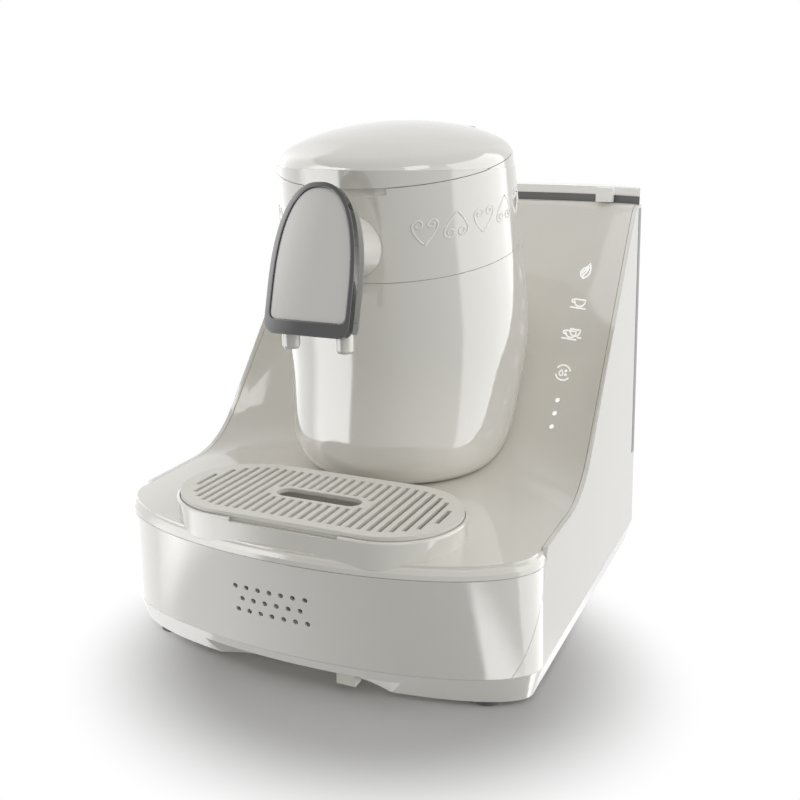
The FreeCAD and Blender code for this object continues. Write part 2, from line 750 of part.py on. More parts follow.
def light_rods(radius, reach, lift=0.0):
    """Short rods through the back wall where the three lights are."""
    slope = math.radians(val("wing_slope"))
    normal = Vector(0, -math.sin(slope), math.cos(slope))
    rods = []
    for number in range(3):
        z = val("light_low") + number * val("light_pitch")
        place = Vector(val("symbol_x"), back_wall_y(val("symbol_x"), z), z)
        rods.append(Part.makeCylinder(radius, reach + lift, place + normal * lift, normal * -1))
    return rods


def rear_zone(ahead):
    """The space behind the curve that the tank's front follows, moved ahead."""
    zone = rear_block(0.0, 0.0, FAR, val("tank_hollow"))
    zone.translate(Vector(0, -ahead, 0))
    beyond = zone.copy()
    beyond.translate(Vector(0, val("tank_hollow"), 0))
    return zone.fuse(beyond)


def make_deck():
    """Deck, tray surround and hollow back wall in one moulding."""
    lip = val("lip_radius")
    seam = val("seam_height") + GAP / 2
    half, bow = width_at(seam), val("bow_seam")
    wires = [plan(half, bow, BACK_Y, seam)]
    for angle in (22.5, 45, 67.5, 90):
        inset = lip * (1 - math.cos(math.radians(angle)))
        height = seam + lip * math.sin(math.radians(angle))
        wires.append(plan(half - inset, bow - inset, BACK_Y, height))
    wires.append(plan(half - lip, bow - lip, BACK_Y, seam + 3 * lip))
    lip_block = Part.makeLoft(wires, True, True).common(front_sector(-GAP / 2))
    clear = WALL + GAP
    top = val("wing_height")
    inside_wires = [plan(width_at(z) - clear, bow - clear, -FRONT, z) for z in (seam, top)]
    inside = Part.makeLoft(inside_wires, True, True).cut(rear_zone(val("tank_play") + WALL + GAP))
    moulding = inside.fuse(lip_block).common(sunk_tool).cut(tool)
    skirt = lip_block.cut(housing_block(WALL)).cut(tool)
    surround = stadium(val("plinth_radius"), seam + lip / 2, val("plinth_height"))
    rim = [edge for edge in surround.Edges if edge.BoundBox.ZMin > val("plinth_height") - GAP]
    surround = surround.makeFillet(val("plinth_rounding"), rim)
    well_radius = val("tray_radius") + val("tray_play") + val("tray_wall")
    well_floor = val("tray_floor") - val("tray_play") - val("tray_wall")
    well = stadium(well_radius, well_floor, val("plinth_ledge"))
    cavity = stadium(val("tray_radius") + val("tray_play"), val("tray_floor") - val("tray_play"), FAR / 2)
    ledge = stadium(val("plate_radius") + val("tray_play"), val("plinth_ledge"), FAR / 2)
    notch = Part.makeBox(val("notch_length"), val("plinth_radius"), FAR / 2,
                         Vector(-val("notch_length") / 2, FRONT - lip,
                                val("plinth_height") - val("notch_height")))
    moulding = moulding.fuse([skirt, surround, well])
    lights = light_rods(val("light_radius") + GAP / 4, 4 * WALL, WALL)
    foot_y = FRONT + val("barrel_foot_y")
    way_down = Part.makeCylinder(val("barrel_foot_radius") - val("barrel_wall"), val("barrel_knee_z") / 2,
                                 Vector(0, foot_y, val("barrel_foot_z") + GAP - val("barrel_knee_z") / 2))
    moulding = moulding.cut([cavity, ledge, notch, barrel_inner, way_down] + lights)
    keep(feature("deck_shell", largest(moulding)), "deck_shell")


def make_base_pan():
    """The pan under the housing, with its chamfered edge, finger scoop and board pillars."""
    low, high = val("foot_height"), val("wall_foot") - GAP / 6

    def block(shrink, floor):
        """The pan's outer form or a smaller one inside it."""
        half = HALF_WIDTH - val("pan_inset") - shrink
        wires = [plan(half, val("bow_pan") - shrink, BACK_Y - shrink, floor),
                 plan(HALF_WIDTH - shrink, val("bow_foot") - shrink, BACK_Y - shrink, high)]
        return Part.makeLoft(wires, True, True)

    def scoop_block(grow):
        """The finger scoop as a flat oval under the front edge."""
        oval = Part.Ellipse(Vector(0, 0, 0), val("scoop_half_length") + grow, val("scoop_reach") + grow)
        face = Part.Face(Part.Wire(oval.toShape()))
        shape = face.extrude(Vector(0, 0, val("scoop_height") + grow - low + GAP))
        shape.translate(Vector(0, BOW_Y - val("bow_foot"), low - GAP))
        return shape

    shell = block(0.0, low).cut(block(WALL, low + WALL))
    skin = scoop_block(WALL).common(block(0.0, low))
    pillars = [Part.makeCylinder(PILLAR, val("board_lift") + WALL, place) for place in board_corners(low)]
    pilots = [Part.makeCylinder(val("screw_radius") - 2 * GAP, val("board_lift"),
                                place + Vector(0, 0, WALL)) for place in board_corners(low)]
    pan = shell.fuse([skin] + pillars).cut([scoop_block(0.0)] + pilots)
    keep(feature("base_pan", largest(pan)), "base_pan")


PILLAR = 3.4


def board_corners(height):
    """The control board's four fixing points at a height."""
    along = val("board_width") / 2 - 2 * PILLAR
    across = val("board_depth") / 2 - 2 * PILLAR
    centre = Vector(val("board_x"), FRONT + val("board_y"), height)
    return [centre + Vector(sx * along, sy * across, 0) for sx in (-1, 1) for sy in (-1, 1)]


def make_rear_cover():
    """The rear cover: a box that carries the tank, and the wall in front of it."""
    low, ledge = 2 * val("foot_height"), val("tank_bottom") - val("tank_play")
    outside = rear_block(GAP, low, ledge, 0.0)
    inside = rear_block(WALL, low + WALL, ledge - WALL, 0.0)
    reach = val("tank_half_width") - 3 * WALL
    forward = Part.makeBox(2 * reach, 4 * WALL, ledge - low - 2 * WALL,
                           Vector(-reach, FRONT + val("tank_front") - WALL, low + WALL))
    wall = rear_zone(val("tank_play") + WALL).cut(rear_zone(val("tank_play")))
    wall = wall.common(slab(ledge - WALL, val("wing_height") - GAP))
    half = width_at(val("wing_height")) - WALL - 2 * GAP
    limit = Part.makeBox(2 * half, -2 * FRONT, FAR, Vector(-half, 0, 0))
    back_limit = Part.makeBox(2 * half, FAR, FAR, Vector(-half, -FRONT - 6 * WALL, 0))
    wall = largest(wall.common(limit).cut(back_limit))
    cover = outside.cut(inside).cut(forward).fuse(wall)
    socket = Part.makeCylinder(val("socket_radius") + GAP, FAR, Vector(0, SOCKET_Y, ledge - 2 * WALL))
    inlet = Part.makeCylinder(INLET_RADIUS + GAP, FAR, Vector(val("inlet_x"), BACK_Y, val("inlet_z")),
                              Vector(0, 1, 0))
    keep(feature("rear_cover", largest(cover.cut([socket, inlet]))), "rear_cover")


INLET_RADIUS = 7.0
SOCKET_Y = (val("tank_front") + val("tank_hollow")) / 2

make_side_panels()
make_front_panel()
make_deck()
make_base_pan()
make_rear_cover()


# The barrel, its band and the lid


def make_barrel():
    """The lower barrel, the band above it and the lid, cut apart by two tilted seams."""
    lower_seam, upper_seam = val("band_seam"), val("lid_seam")
    shell = head_form.cut(head_space)
    lower = shell.common(raised_tool).common(under_seam(lower_seam - GAP / 2))
    boss_hole = Part.makeCylinder(val("riser_radius") + 2 * GAP, FAR, Vector(0, 0, BOSS_Z), Vector(0, -1, 0))
    keep(feature("barrel_shell", largest(lower.cut(boss_hole))), "barrel_shell")
    band = shell.common(under_seam(upper_seam - LID_GAP)).cut(under_seam(lower_seam + GAP / 2))
    radius, axis_y = barrel_at(val("collar_top"))
    collar = Part.makeCylinder(radius - val("barrel_wall") / 2, val("collar_thickness"),
                               Vector(0, axis_y, val("collar_top") - val("collar_thickness")))
    opening = Part.makeCylinder(val("pot_radius") + 2 * GAP, FAR, Vector(0, POT_Y, BOSS_Z))
    riser = Part.makeCylinder(val("riser_radius") + GAP, FAR, Vector(0, RISER_DROP_Y, BOSS_Z))
    hose = Part.makeCylinder(val("hose_radius") + GAP, FAR / 2, Vector(HOSE_OUT.x, HOSE_OUT.y, BOSS_Z))
    collar = collar.cut([opening, riser, hose])
    recess = Part.makeBox(val("recess_width"), FAR, FAR, Vector(-val("recess_width") / 2, -FAR, 0))
    under_lip = under_seam(upper_seam).cut(under_seam(upper_seam - val("recess_height")))
    slim = barrel_block(val("recess_depth") / 2)
    recess = recess.common(under_lip).cut(slim)
    knuckles = hinge_knuckles((-1, 1))
    band = band.fuse([collar] + knuckles).cut([recess, hinge_bore()] + hinge_clearance((0,)))
    keep(feature("head_band", largest(band.cut(boss_hole))), "head_band")
    lid = shell.cut(under_seam(upper_seam))
    lid = lid.fuse(hinge_knuckles((0,))).cut([hinge_bore()] + hinge_clearance((-1, 1)))
    keep(feature("head_lid", largest(lid)), "head_lid")


def hinge_axis(x):
    return Vector(x, FRONT + val("hinge_y"), val("hinge_z"))


def hinge_span(place):
    """Start and length of a knuckle: place 0 is the middle one, -1 and 1 the outer ones."""
    third = val("hinge_length") / 3
    return (place - 0.5) * third, third


def hinge_knuckles(places):
    """Knuckles with a web down to the shell they belong to."""
    pieces = []
    for place in places:
        start, length = hinge_span(place)
        start, length = start + LID_GAP, length - 2 * LID_GAP
        barrel = Part.makeCylinder(val("hinge_knuckle"), length, hinge_axis(start), Vector(1, 0, 0))
        reach = 3 * val("hinge_knuckle")
        forward = -1 if place == 0 else 0
        web = Part.makeBox(length, reach, val("hinge_knuckle"),
                           hinge_axis(start) + Vector(0, forward * reach, -val("hinge_knuckle")))
        if place == 0:
            pieces += [barrel, web.common(under_dome()).cut(under_seam(val("lid_seam")))]
        else:
            column = Part.makeBox(length, val("hinge_knuckle"), 3 * val("hinge_knuckle"),
                                  hinge_axis(start) + Vector(0, -0.5 * val("hinge_knuckle"),
                                                             -3 * val("hinge_knuckle")))
            pieces += [barrel, column]
    return pieces


def under_dome():
    return dome_block(-val("lid_wall") / 2)


def hinge_clearance(places):
    """Free space around the other part's knuckles."""
    pieces = []
    for place in places:
        start, length = hinge_span(place)
        radius = val("hinge_knuckle") + LID_GAP
        pieces.append(Part.makeCylinder(radius, length, hinge_axis(start), Vector(1, 0, 0)))
        if place == 0:
            continue
        column = Part.makeBox(length, 2 * radius, 3 * radius, hinge_axis(start) + Vector(0, -radius, -3 * radius))
        pieces.append(column)
    return pieces


def hinge_bore():
    radius = val("hinge_pin_radius") + val("hinge_play")
    return Part.makeCylinder(radius, 2 * val("hinge_length"), hinge_axis(-val("hinge_length")), Vector(1, 0, 0))


LID_GAP = 0.3
BOSS_Z = val("spout_z") + val("boss_rise") * math.cos(math.radians(val("head_lean")))
POT_Y = FRONT + val("pot_y")
RISER_DROP_Y = POT_Y - val("pot_flange") - val("riser_radius") - 2.0
HOSE_OUT = Vector(36.5, POT_Y + 36.5, 0)
HOSE_IN = Vector(27.5, POT_Y + 28.1, 0)

make_barrel()

pin = cylinder("hinge_pin", dims.hinge_pin_radius, dims.hinge_length, -dims.hinge_length / 2,
               behind("hinge_y"), dims.hinge_z, Vector(0, 1, 0), 90)
keep(pin, "hinge_pin")


# The coffee pot and its heater

pot = turned("pot", [
    (0, dims.pot_floor), (dims.pot_floor_radius, dims.pot_floor),
    (dims.pot_radius, dims.pot_mouth - dims.pot_wall), (dims.pot_flange, dims.pot_mouth - dims.pot_wall),
    (dims.pot_flange, dims.pot_mouth), (dims.pot_radius - dims.pot_wall, dims.pot_mouth),
    (dims.pot_floor_radius - dims.pot_wall, dims.pot_floor + dims.pot_wall), (0, dims.pot_floor + dims.pot_wall),
], y=behind("pot_y"))
keep(pot, "coffee_pot")

heater_top = dims.pot_floor - 0.1
heater_foot = heater_top - dims.heater_thickness
keep(cylinder("heater", dims.pot_floor_radius - 4, dims.heater_thickness, 0, behind("pot_y"), heater_foot),
     "heater_plate")
element = doc.addObject("Part::Torus", "element")
bind(element, Radius1=dims.element_radius, Radius2=dims.element_wire)
put(element, 0, behind("pot_y"), heater_foot - dims.element_wire - 0.05)
keep(element, "heating_element")

carrier_top = heater_foot - 2 * dims.element_wire - 3
carrier_foot = carrier_top - dims.carrier_thickness
pan_floor = dims.foot_height + dims.shell_wall


def ring_of(name, radius, ring, height, z, start=45, count=4):
    """Equal upright cylinders on a ring around the pot's axis."""
    pieces = []
    for number in range(count):
        angle = math.radians(start + 360 / count * number)
        x, y = ring * math.cos(angle), behind("pot_y") + ring * math.sin(angle)
        pieces.append(cylinder("%s_%d" % (name, number + 1), radius, height, x, y, z))
    return pieces


plate = cylinder("carrier_plate", dims.carrier_radius, dims.carrier_thickness, 0, behind("pot_y"), carrier_foot)
posts = ring_of("post", dims.post_radius, dims.carrier_radius - 6, carrier_foot - pan_floor, pan_floor, 0)
keep(fuse("carrier", [plate] + posts), "heater_carrier")
spacer_ring = dims.carrier_radius - 3.2
keep(group("spacers", ring_of("spacer", 2.6, spacer_ring, heater_foot - carrier_top, carrier_top)), "spacers")
keep(cylinder("thermostat_can", 9, heater_foot - carrier_top - 0.2, 0, behind("pot_y"), carrier_top + 0.1),
     "thermostat")


# Tubes and hoses


def rounded_path(points, bend):
    """An open route with rounded corners."""
    edges, last = [], points[0]
    for before, corner, after in zip(points, points[1:], points[2:]):
        into = (before - corner).normalize()
        out = (after - corner).normalize()
        half = into.getAngle(out) / 2
        reach = bend / math.tan(half)
        start, stop = corner + into * reach, corner + out * reach
        bisector = (into + out).normalize()
        middle = corner + bisector * (bend / math.sin(half) - bend)
        edges += [Part.makeLine(last, start), Part.Arc(start, middle, stop).toShape()]
        last = stop
    edges.append(Part.makeLine(last, points[-1]))
    return Part.Wire(edges)


def tube(points, radius, bore, bend):
    """A round tube along a route."""
    route = rounded_path(points, bend)
    along = (points[1] - points[0]).normalize()
    solids = []
    for size in (radius, bore):
        circle = Part.Wire(Part.Circle(points[0], along, size).toShape())
        solids.append(route.makePipeShell([circle], True, True))
    return solids[0].cut(solids[1])


OVER_RIM = val("pot_mouth") + val("riser_radius") + 2.5
HEAD_END_Y = on_head(0, 8.0, val("boss_rise")).y
RISER_Y = FRONT + val("riser_y")
riser_route = [Vector(0, RISER_Y, val("riser_foot")), Vector(0, RISER_Y, OVER_RIM),
               Vector(0, RISER_DROP_Y, OVER_RIM), Vector(0, RISER_DROP_Y, BOSS_Z),
               Vector(0, HEAD_END_Y, BOSS_Z)]
keep(feature("riser", tube(riser_route, val("riser_radius"), val("riser_bore"), val("riser_bend"))),
     "riser_tube")

PUMP_Z = val("foot_height") + WALL + 3.0 + val("pump_radius")
PUMP_FRONT = FRONT + val("pump_y") - val("pump_length") / 2
PUMP_BACK = PUMP_FRONT + val("pump_length")
PORT = 6.0
TURN_Y = HOSE_IN.y - 12.0
delivery_route = [Vector(val("pump_x"), PUMP_FRONT - PORT, PUMP_Z), Vector(val("pump_x"), TURN_Y, PUMP_Z),
                  Vector(HOSE_IN.x, TURN_Y, PUMP_Z), Vector(HOSE_IN.x, HOSE_IN.y, PUMP_Z),
                  Vector(HOSE_IN.x, HOSE_IN.y, 88.0),
                  Vector(HOSE_OUT.x, HOSE_OUT.y, 108.0), Vector(HOSE_OUT.x, HOSE_OUT.y, OVER_RIM + 1),
                  Vector(HOSE_IN.x - 3, HOSE_IN.y - 3, OVER_RIM + 1)]
keep(feature("delivery", tube(delivery_route, val("hose_radius"), val("hose_bore"), 5.0)), "delivery_hose")
SOCKET_FOOT = val("tank_bottom") - 16.0
suction_route = [Vector(val("pump_x"), PUMP_BACK + PORT, PUMP_Z), Vector(val("pump_x"), BACK_Y + 9, PUMP_Z),
                 Vector(0, BACK_Y + 9, PUMP_Z), Vector(0, SOCKET_Y, PUMP_Z), Vector(0, SOCKET_Y, SOCKET_FOOT)]
keep(feature("suction", tube(suction_route, val("hose_radius"), val("hose_bore"), 4.0)), "suction_hose")


# Pump, control board, speaker, touch film and lights


def lying(name, radius, length, start, z=PUMP_Z):
    """A cylinder that lies along Y on the pump's axis."""
    return cylinder(name, radius, length, dims.pump_x, start, z, Vector(-1, 0, 0), 90)


pump_front = behind("pump_y") - dims.pump_length / 2
pump_back = pump_front + dims.pump_length
motor = lying("pump_motor", dims.pump_radius, dims.pump_length, pump_front)
ports = lying("pump_ports", dims.hose_bore - 0.05, dims.pump_length + 4 * PORT, pump_front - 2 * PORT)
keep(fuse("pump_body", [motor, ports]), "pump")
saddle_block = box("saddle_block", 2 * dims.pump_radius + 8, 30, dims.pump_radius + 2,
                   dims.pump_x - dims.pump_radius - 4, behind("pump_y") - 15, pan_floor)
saddle_space = lying("saddle_space", dims.pump_radius + 0.1, 2 * dims.pump_length, pump_front - dims.pump_length / 2)
keep(cut("saddle", saddle_block, saddle_space), "pump_saddle")

board_z = pan_floor + dims.board_lift
board_plate = box("board_plate", dims.board_width, dims.board_depth, dims.board_thickness,
                  dims.board_x - dims.board_width / 2, behind("board_y") - dims.board_depth / 2, board_z)
board_holes, screws = [], []
for number, corner in enumerate(board_corners(0.0), start=1):
    name = "board_hole_%d" % number
    board_holes.append(cylinder(name, dims.screw_radius, 3 * dims.board_thickness, corner.x, corner.y,
                                board_z - dims.board_thickness))
    shank = cylinder("shank_%d" % number, dims.screw_radius - 0.45, 6 + dims.board_thickness, corner.x, corner.y,
                     board_z - 6)
    head = cylinder("screw_head_%d" % number, 2 * dims.screw_radius, dims.screw_radius, corner.x, corner.y,
                    board_z + dims.board_thickness)
    screws.append(fuse("screw_%d" % number, [shank, head]))
keep(cut("board", board_plate, fuse("board_hole_set", board_holes)), "control_board")
keep(group("board_screw_set", screws), "board_screws")

wall_tilt = math.degrees(math.atan((val("bow_seam") - val("bow_foot")) / (val("seam_height") - val("wall_foot"))))
rise_share = (val("speaker_z") - val("wall_foot")) / (val("seam_height") - val("wall_foot"))
bow_here = val("bow_foot") + (val("bow_seam") - val("bow_foot")) * rise_share
speaker = cylinder("speaker_can", dims.speaker_radius, dims.speaker_depth, dims.speaker_x,
                   BOW_Y - bow_here + WALL + 1.0, dims.speaker_z, Vector(1, 0, 0), -90 + wall_tilt)
keep(speaker, "speaker")

film = sweep_tool(WALL + 0.1 + val("film_thickness")).cut(sweep_tool(WALL + 0.1))
film = film.common(Part.makeBox(val("film_width"), 2 * FAR, val("film_high") - val("film_low"),
                                Vector(val("symbol_x") - val("film_width") / 2, -FAR, val("film_low"))))
keep(feature("film", largest(film)), "touch_film")
lights = Part.Compound([rod.cut(tool) for rod in light_rods(val("light_radius"), 1.25 * WALL, WALL)])
keep(feature("lights", lights), "status_lights")

inlet_barrel = cylinder("inlet_barrel", INLET_RADIUS, 14, dims.inlet_x, BACK_Y + 19, dims.inlet_z,
                        Vector(-1, 0, 0), 90)
keep(inlet_barrel, "cord_inlet")


# Water tank with its lid, float, valve and socket

tank_curve = val("tank_hollow")
tank_out = rear_block(0.0, val("tank_bottom"), val("tank_rim"), tank_curve)
tank_in = rear_block(val("tank_wall"), val("tank_bottom") + val("tank_wall"), FAR, tank_curve)
spigot = Part.makeCylinder(val("valve_radius") + 3.0, 8.0, Vector(0, SOCKET_Y, val("tank_bottom") - 8.0))
valve_bore = Part.makeCylinder(val("valve_radius") + 0.1, FAR, Vector(0, SOCKET_Y, 0))
tank = tank_out.cut(tank_in).fuse(spigot).cut(valve_bore)
keep(feature("tank", largest(tank)), "water_tank")
lid_low = val("tank_rim") + LID_GAP
cap = rear_block(0.0, lid_low, val("tank_rim") + val("tank_lid_height"), tank_curve)
plug = rear_block(val("tank_wall") + LID_GAP, lid_low - 4.0, lid_low, tank_curve)
plug = plug.cut(rear_block(2 * val("tank_wall") + LID_GAP, 0.0, FAR, tank_curve))
tab_y = FRONT + val("tank_front") + tank_curve * (1 - ((val("tab_x") + val("tab_width")) / val("tank_half_width")) ** 4)
tab_low = val("wing_height") + 2 * GAP
tab_top = val("tank_rim") + val("tank_lid_height") - GAP
tab = Part.makeBox(val("tab_width"), 11.5, tab_top - tab_low, Vector(val("tab_x"), tab_y - 7.5, tab_low))
tab = tab.cut(rear_zone(val("tank_play") + WALL + GAP).common(slab(0.0, lid_low)))
keep(feature("tank_cap", largest(cap.fuse([plug, tab]))), "tank_lid")

tank_floor = dims.tank_bottom + dims.tank_wall
float_y = SOCKET_Y - 3.3
keep(cylinder("float", dims.float_radius, 14, dims.float_x, float_y, tank_floor + 0.2), "tank_float")
stem = cylinder("valve_stem", dims.valve_radius, 12, 0, SOCKET_Y, dims.tank_bottom - 9)
disc = cylinder("valve_disc", dims.valve_radius + 4, 2, 0, SOCKET_Y, tank_floor + 0.3)
keep(fuse("valve", [stem, disc]), "tank_valve")
socket_top = dims.tank_bottom - dims.tank_play - dims.shell_wall - 0.2
socket_block = cylinder("socket_block", dims.socket_radius, 14, 0, SOCKET_Y, socket_top - 14 + dims.shell_wall)
socket_well = cylinder("socket_well", dims.valve_radius + 3.3, 14, 0, SOCKET_Y, dims.tank_bottom - 9.5)
socket_port = cylinder("socket_port", dims.hose_bore, 40, 0, SOCKET_Y, dims.tank_bottom - 30)
keep(cut("socket", cut("socket_cup", socket_block, socket_well), socket_port), "tank_socket")


# Drip tray and grille plate


def stadium_body(name, radius, low, high, half):
    """An upright stadium over the tray's centre as a body."""
    owner = body(name)
    outline = sketch_on(owner, name + "_outline", "XY_Plane", low)
    add_slot(outline, half, radius)
    pad(owner, name + "_pad", outline, high - low)
    return owner


tray_top = dims.plate_bottom - 0.1
tray = stadium_body("tray", dims.tray_radius, dims.tray_floor, tray_top, dims.tray_straight)
flange = sketch_on(tray, "tray_flange_outline", "XY_Plane", dims.plinth_ledge + 0.1)
add_slot(flange, dims.tray_straight, dims.tray_flange)
pad(tray, "tray_flange_pad", flange, tray_top - dims.plinth_ledge - 0.1)
space = sketch_on(tray, "tray_space_outline", "XY_Plane", dims.tray_floor + dims.tray_wall)
add_slot(space, dims.tray_straight, dims.tray_radius - dims.tray_wall)
pocket(tray, "tray_space", space, 40, True)
keep(put(tray, y=behind("tray_centre")), "drip_tray")

grille = stadium_body("plate", dims.plate_radius, dims.plate_bottom, dims.plate_top, dims.tray_straight)
grip = sketch_on(grille, "grip_outline", "XY_Plane", dims.plate_bottom - 1)
add_slot(grip, (dims.grip_length - dims.grip_width) / 2, dims.grip_width / 2)
pocket(grille, "grip_slot", grip, 20, True)
count = int(val("slot_count"))
pitch = 2 * (val("tray_straight") + val("slot_radius")) / count
slots = sketch_on(grille, "slot_outline", "XY_Plane", dims.plate_bottom - 1)
guard_half = (val("grip_length") - val("grip_width")) / 2
guard_radius = val("grip_width") / 2 + val("grip_rim")


def stadium_reach(x, half, radius):
    """Half the width along Y of a stadium at x."""
    beyond = max(abs(x) - half, 0.0)
    return math.sqrt(max(radius ** 2 - beyond ** 2, 0.0))


for number in range(count):
    x = (number - (count - 1) / 2) * pitch
    near, far_side = x - val("slot_width") / 2, x + val("slot_width") / 2
    edge = max(abs(near), abs(far_side))
    reach = stadium_reach(edge, val("tray_straight"), val("slot_radius"))
    guard = stadium_reach(min(abs(near), abs(far_side)), guard_half, guard_radius)
    if reach < 3.0:
        continue
    if abs(x) > guard_half + guard_radius + val("slot_width") / 2:
        add_polygon(slots, [(near, -reach), (far_side, -reach), (far_side, reach), (near, reach)])
        continue
    add_polygon(slots, [(near, -reach), (far_side, -reach), (far_side, -guard), (near, -guard)])
    add_polygon(slots, [(near, guard), (far_side, guard), (far_side, reach), (near, reach)])
pocket(grille, "slot_pocket", slots, 20, True)
keep(put(grille, y=behind("tray_centre")), "grille_plate")


# The pouring head


def make_head():
    """Cover, chrome ring, face panel, manifold and boss."""
    ring, chin, lip = val("ring_width"), val("ring_chin"), val("cover_lip")
    shoulder = val("cover_shoulder")
    grow = ring + lip
    straight = arch_block(grow, chin + lip, 0.0, shoulder)
    taper = Part.makeLoft([arch_wire(grow, chin + lip, shoulder), arch_wire(grow - 1.2, chin + lip - 1.2,
                           shoulder + 3.4), arch_wire(grow - 4.5, chin + lip - 4.5, val("cover_depth"))], True, False)
    space = arch_block(grow - val("cover_wall"), chin + lip - val("cover_wall"), val("ring_depth") + GAP,
                       val("cover_depth") - val("cover_wall"))
    seat = arch_block(ring + GAP / 2, chin + GAP / 2, -1.0, val("ring_depth") + GAP)
    cover = straight.fuse(taper).cut([space.common(straight.fuse(taper)), seat])
    cover = place_on_head(feature("cover_draft", cover))
    holes = [Part.makeCylinder(val("nozzle_radius") + GAP / 2, 30.0,
                               Vector(side * val("nozzle_spread"), NOZZLE_Y, val("nozzle_tip"))) for side in (-1, 1)]
    neck = Part.makeCylinder(val("riser_radius") + 2 * GAP, 30.0, Vector(0, HEAD_END_Y, BOSS_Z), Vector(0, 1, 0))
    solid = largest(cover.Shape.copy().cut(holes + [neck]))
    doc.removeObject(cover.Name)
    keep(feature("cover", solid), "spout_cover")
    frame = arch_block(ring, chin, 0.0, val("ring_depth")).cut(arch_block(GAP / 2, GAP / 2, -1.0, 2.6))
    frame = frame.cut(arch_block(-3.0, -3.0, 0.0, FAR))
    keep(place_on_head(feature("ring", frame)), "chrome_ring")
    keep(place_on_head(feature("face", arch_block(0.0, 0.0, 0.9, 2.6))), "face_panel")
    bar = Part.makeBox(2 * val("nozzle_spread") + 9.0, 8.6, 5.0,
                       Vector(-val("nozzle_spread") - 4.5, 6.2, -5.8))
    stem = Part.makeBox(9.0, 8.6, val("boss_rise") + 10.0, Vector(-4.5, 6.2, -2.0))
    way_up = Part.makeBox(4.0, 4.0, val("boss_rise") + 6.0, Vector(-2.0, 8.4, -4.0))
    way_across = Part.makeBox(2 * val("nozzle_spread") + 4.0, 4.0, 2.4,
                              Vector(-val("nozzle_spread") - 2.0, 8.4, -4.6))
    manifold = place_on_head(feature("manifold_draft", bar.fuse(stem).cut([way_up, way_across])))
    neck = Part.makeCylinder(val("riser_radius") + GAP / 2, 30.0, Vector(0, HEAD_END_Y - 1, BOSS_Z), Vector(0, 1, 0))
    bores = [Part.makeCylinder(val("nozzle_radius") + GAP / 4, val("nozzle_top") - val("nozzle_tip") + GAP / 2,
                               Vector(side * val("nozzle_spread"), NOZZLE_Y, val("nozzle_tip"))) for side in (-1, 1)]
    solid = largest(manifold.Shape.copy().cut([neck] + bores))
    doc.removeObject(manifold.Name)
    keep(feature("manifold", solid), "head_manifold")
    back = on_head(0, val("cover_depth"), val("boss_rise")).y + GAP
    base = -barrel_at(BOSS_Z)[0] + barrel_at(BOSS_Z)[1] + 4.0
    neck_radius, foot_radius = val("boss_neck"), val("boss_radius")
    run = base - back
    curve = Part.BSplineCurve()
    curve.interpolate([Vector(0, base, foot_radius + 0.5), Vector(0, base - 0.28 * run, foot_radius - 1.0),
                       Vector(0, base - 0.6 * run, foot_radius - 2.2), Vector(0, back, neck_radius + 4.0)])
    outline = Part.Wire([curve.toShape(), Part.makeLine(Vector(0, back, neck_radius + 4.0), Vector(0, back, 0)),
                         Part.makeLine(Vector(0, back, 0), Vector(0, base, 0)),
                         Part.makeLine(Vector(0, base, 0), Vector(0, base, foot_radius + 0.5))])
    boss = Part.Face(outline).revolve(Vector(0, 0, 0), Vector(0, 1, 0), 360)
    boss.translate(Vector(0, 0, BOSS_Z))
    through = Part.makeCylinder(val("riser_radius") + 2 * GAP, FAR, Vector(0, 0, BOSS_Z), Vector(0, -1, 0))
    lean_back = arch_block(FAR / 4, FAR / 4, -FAR, val("cover_depth") + GAP)
    lean = place_on_head(feature("lean_draft", lean_back))
    boss = boss.cut([barrel_block(-GAP), through, lean.Shape.copy()])
    doc.removeObject(lean.Name)
    keep(feature("boss", largest(boss)), "spout_boss")


NOZZLE_Y = FRONT + val("nozzle_y")
make_head()
nozzles = []
for side, name in ((-1, "left"), (1, "right")):
    tip = turned("nozzle_" + name, [
        (dims.nozzle_bore, 0), (dims.nozzle_radius - 0.8, 0), (dims.nozzle_radius, 1.2),
        (dims.nozzle_radius, dims.nozzle_top - dims.nozzle_tip), (dims.nozzle_bore, dims.nozzle_top - dims.nozzle_tip),
    ], side * dims.nozzle_spread, behind("nozzle_y"), dims.nozzle_tip)
    nozzles.append(tip)
keep(group("nozzle_pair", nozzles), "nozzles")


# Feet

feet = []
for y_name in ("foot_front", "foot_back"):
    for side in (-1, 1):
        foot = cylinder("foot_%s_%s" % (y_name, "left" if side < 0 else "right"), dims.foot_radius, dims.foot_height,
                        side * dims.foot_spread, behind(y_name), 0)
        feet.append(foot)
keep(group("foot_set", feet), "rubber_feet")
keep(box("tab_block", 9.5, 6, dims.scoop_height - 4.7, 20.5, -124, 4.6), "base_tab")


# Everything is checked and written

doc.recompute()
for item in doc.Objects:
    if {"Invalid", "Error"} & set(item.State):
        raise RuntimeError("%s is %s" % (item.Label, item.State))
os.makedirs("parts", exist_ok=True)
for item in nodes:
    if item.Shape.isNull() or not item.Shape.isValid():
        raise RuntimeError("%s has no valid shape" % item.Label)
    if not item.Shape.Solids:
        raise RuntimeError("%s holds no solid" % item.Label)
    item.Shape.exportStep("parts/%s.step" % item.Label)
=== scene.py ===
import json
import math

import bmesh
import bpy
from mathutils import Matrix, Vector
from mathutils.bvhtree import BVHTree


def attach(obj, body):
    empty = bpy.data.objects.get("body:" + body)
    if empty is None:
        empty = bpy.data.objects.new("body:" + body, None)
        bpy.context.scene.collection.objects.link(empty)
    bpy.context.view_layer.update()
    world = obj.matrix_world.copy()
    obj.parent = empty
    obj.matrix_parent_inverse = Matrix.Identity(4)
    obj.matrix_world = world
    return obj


# The coffee maker's looks: materials, printed symbols, trims, the raised ornament and the studio.
# Lengths are in metres, in the frame's own axes: X right, Y back, Z up.

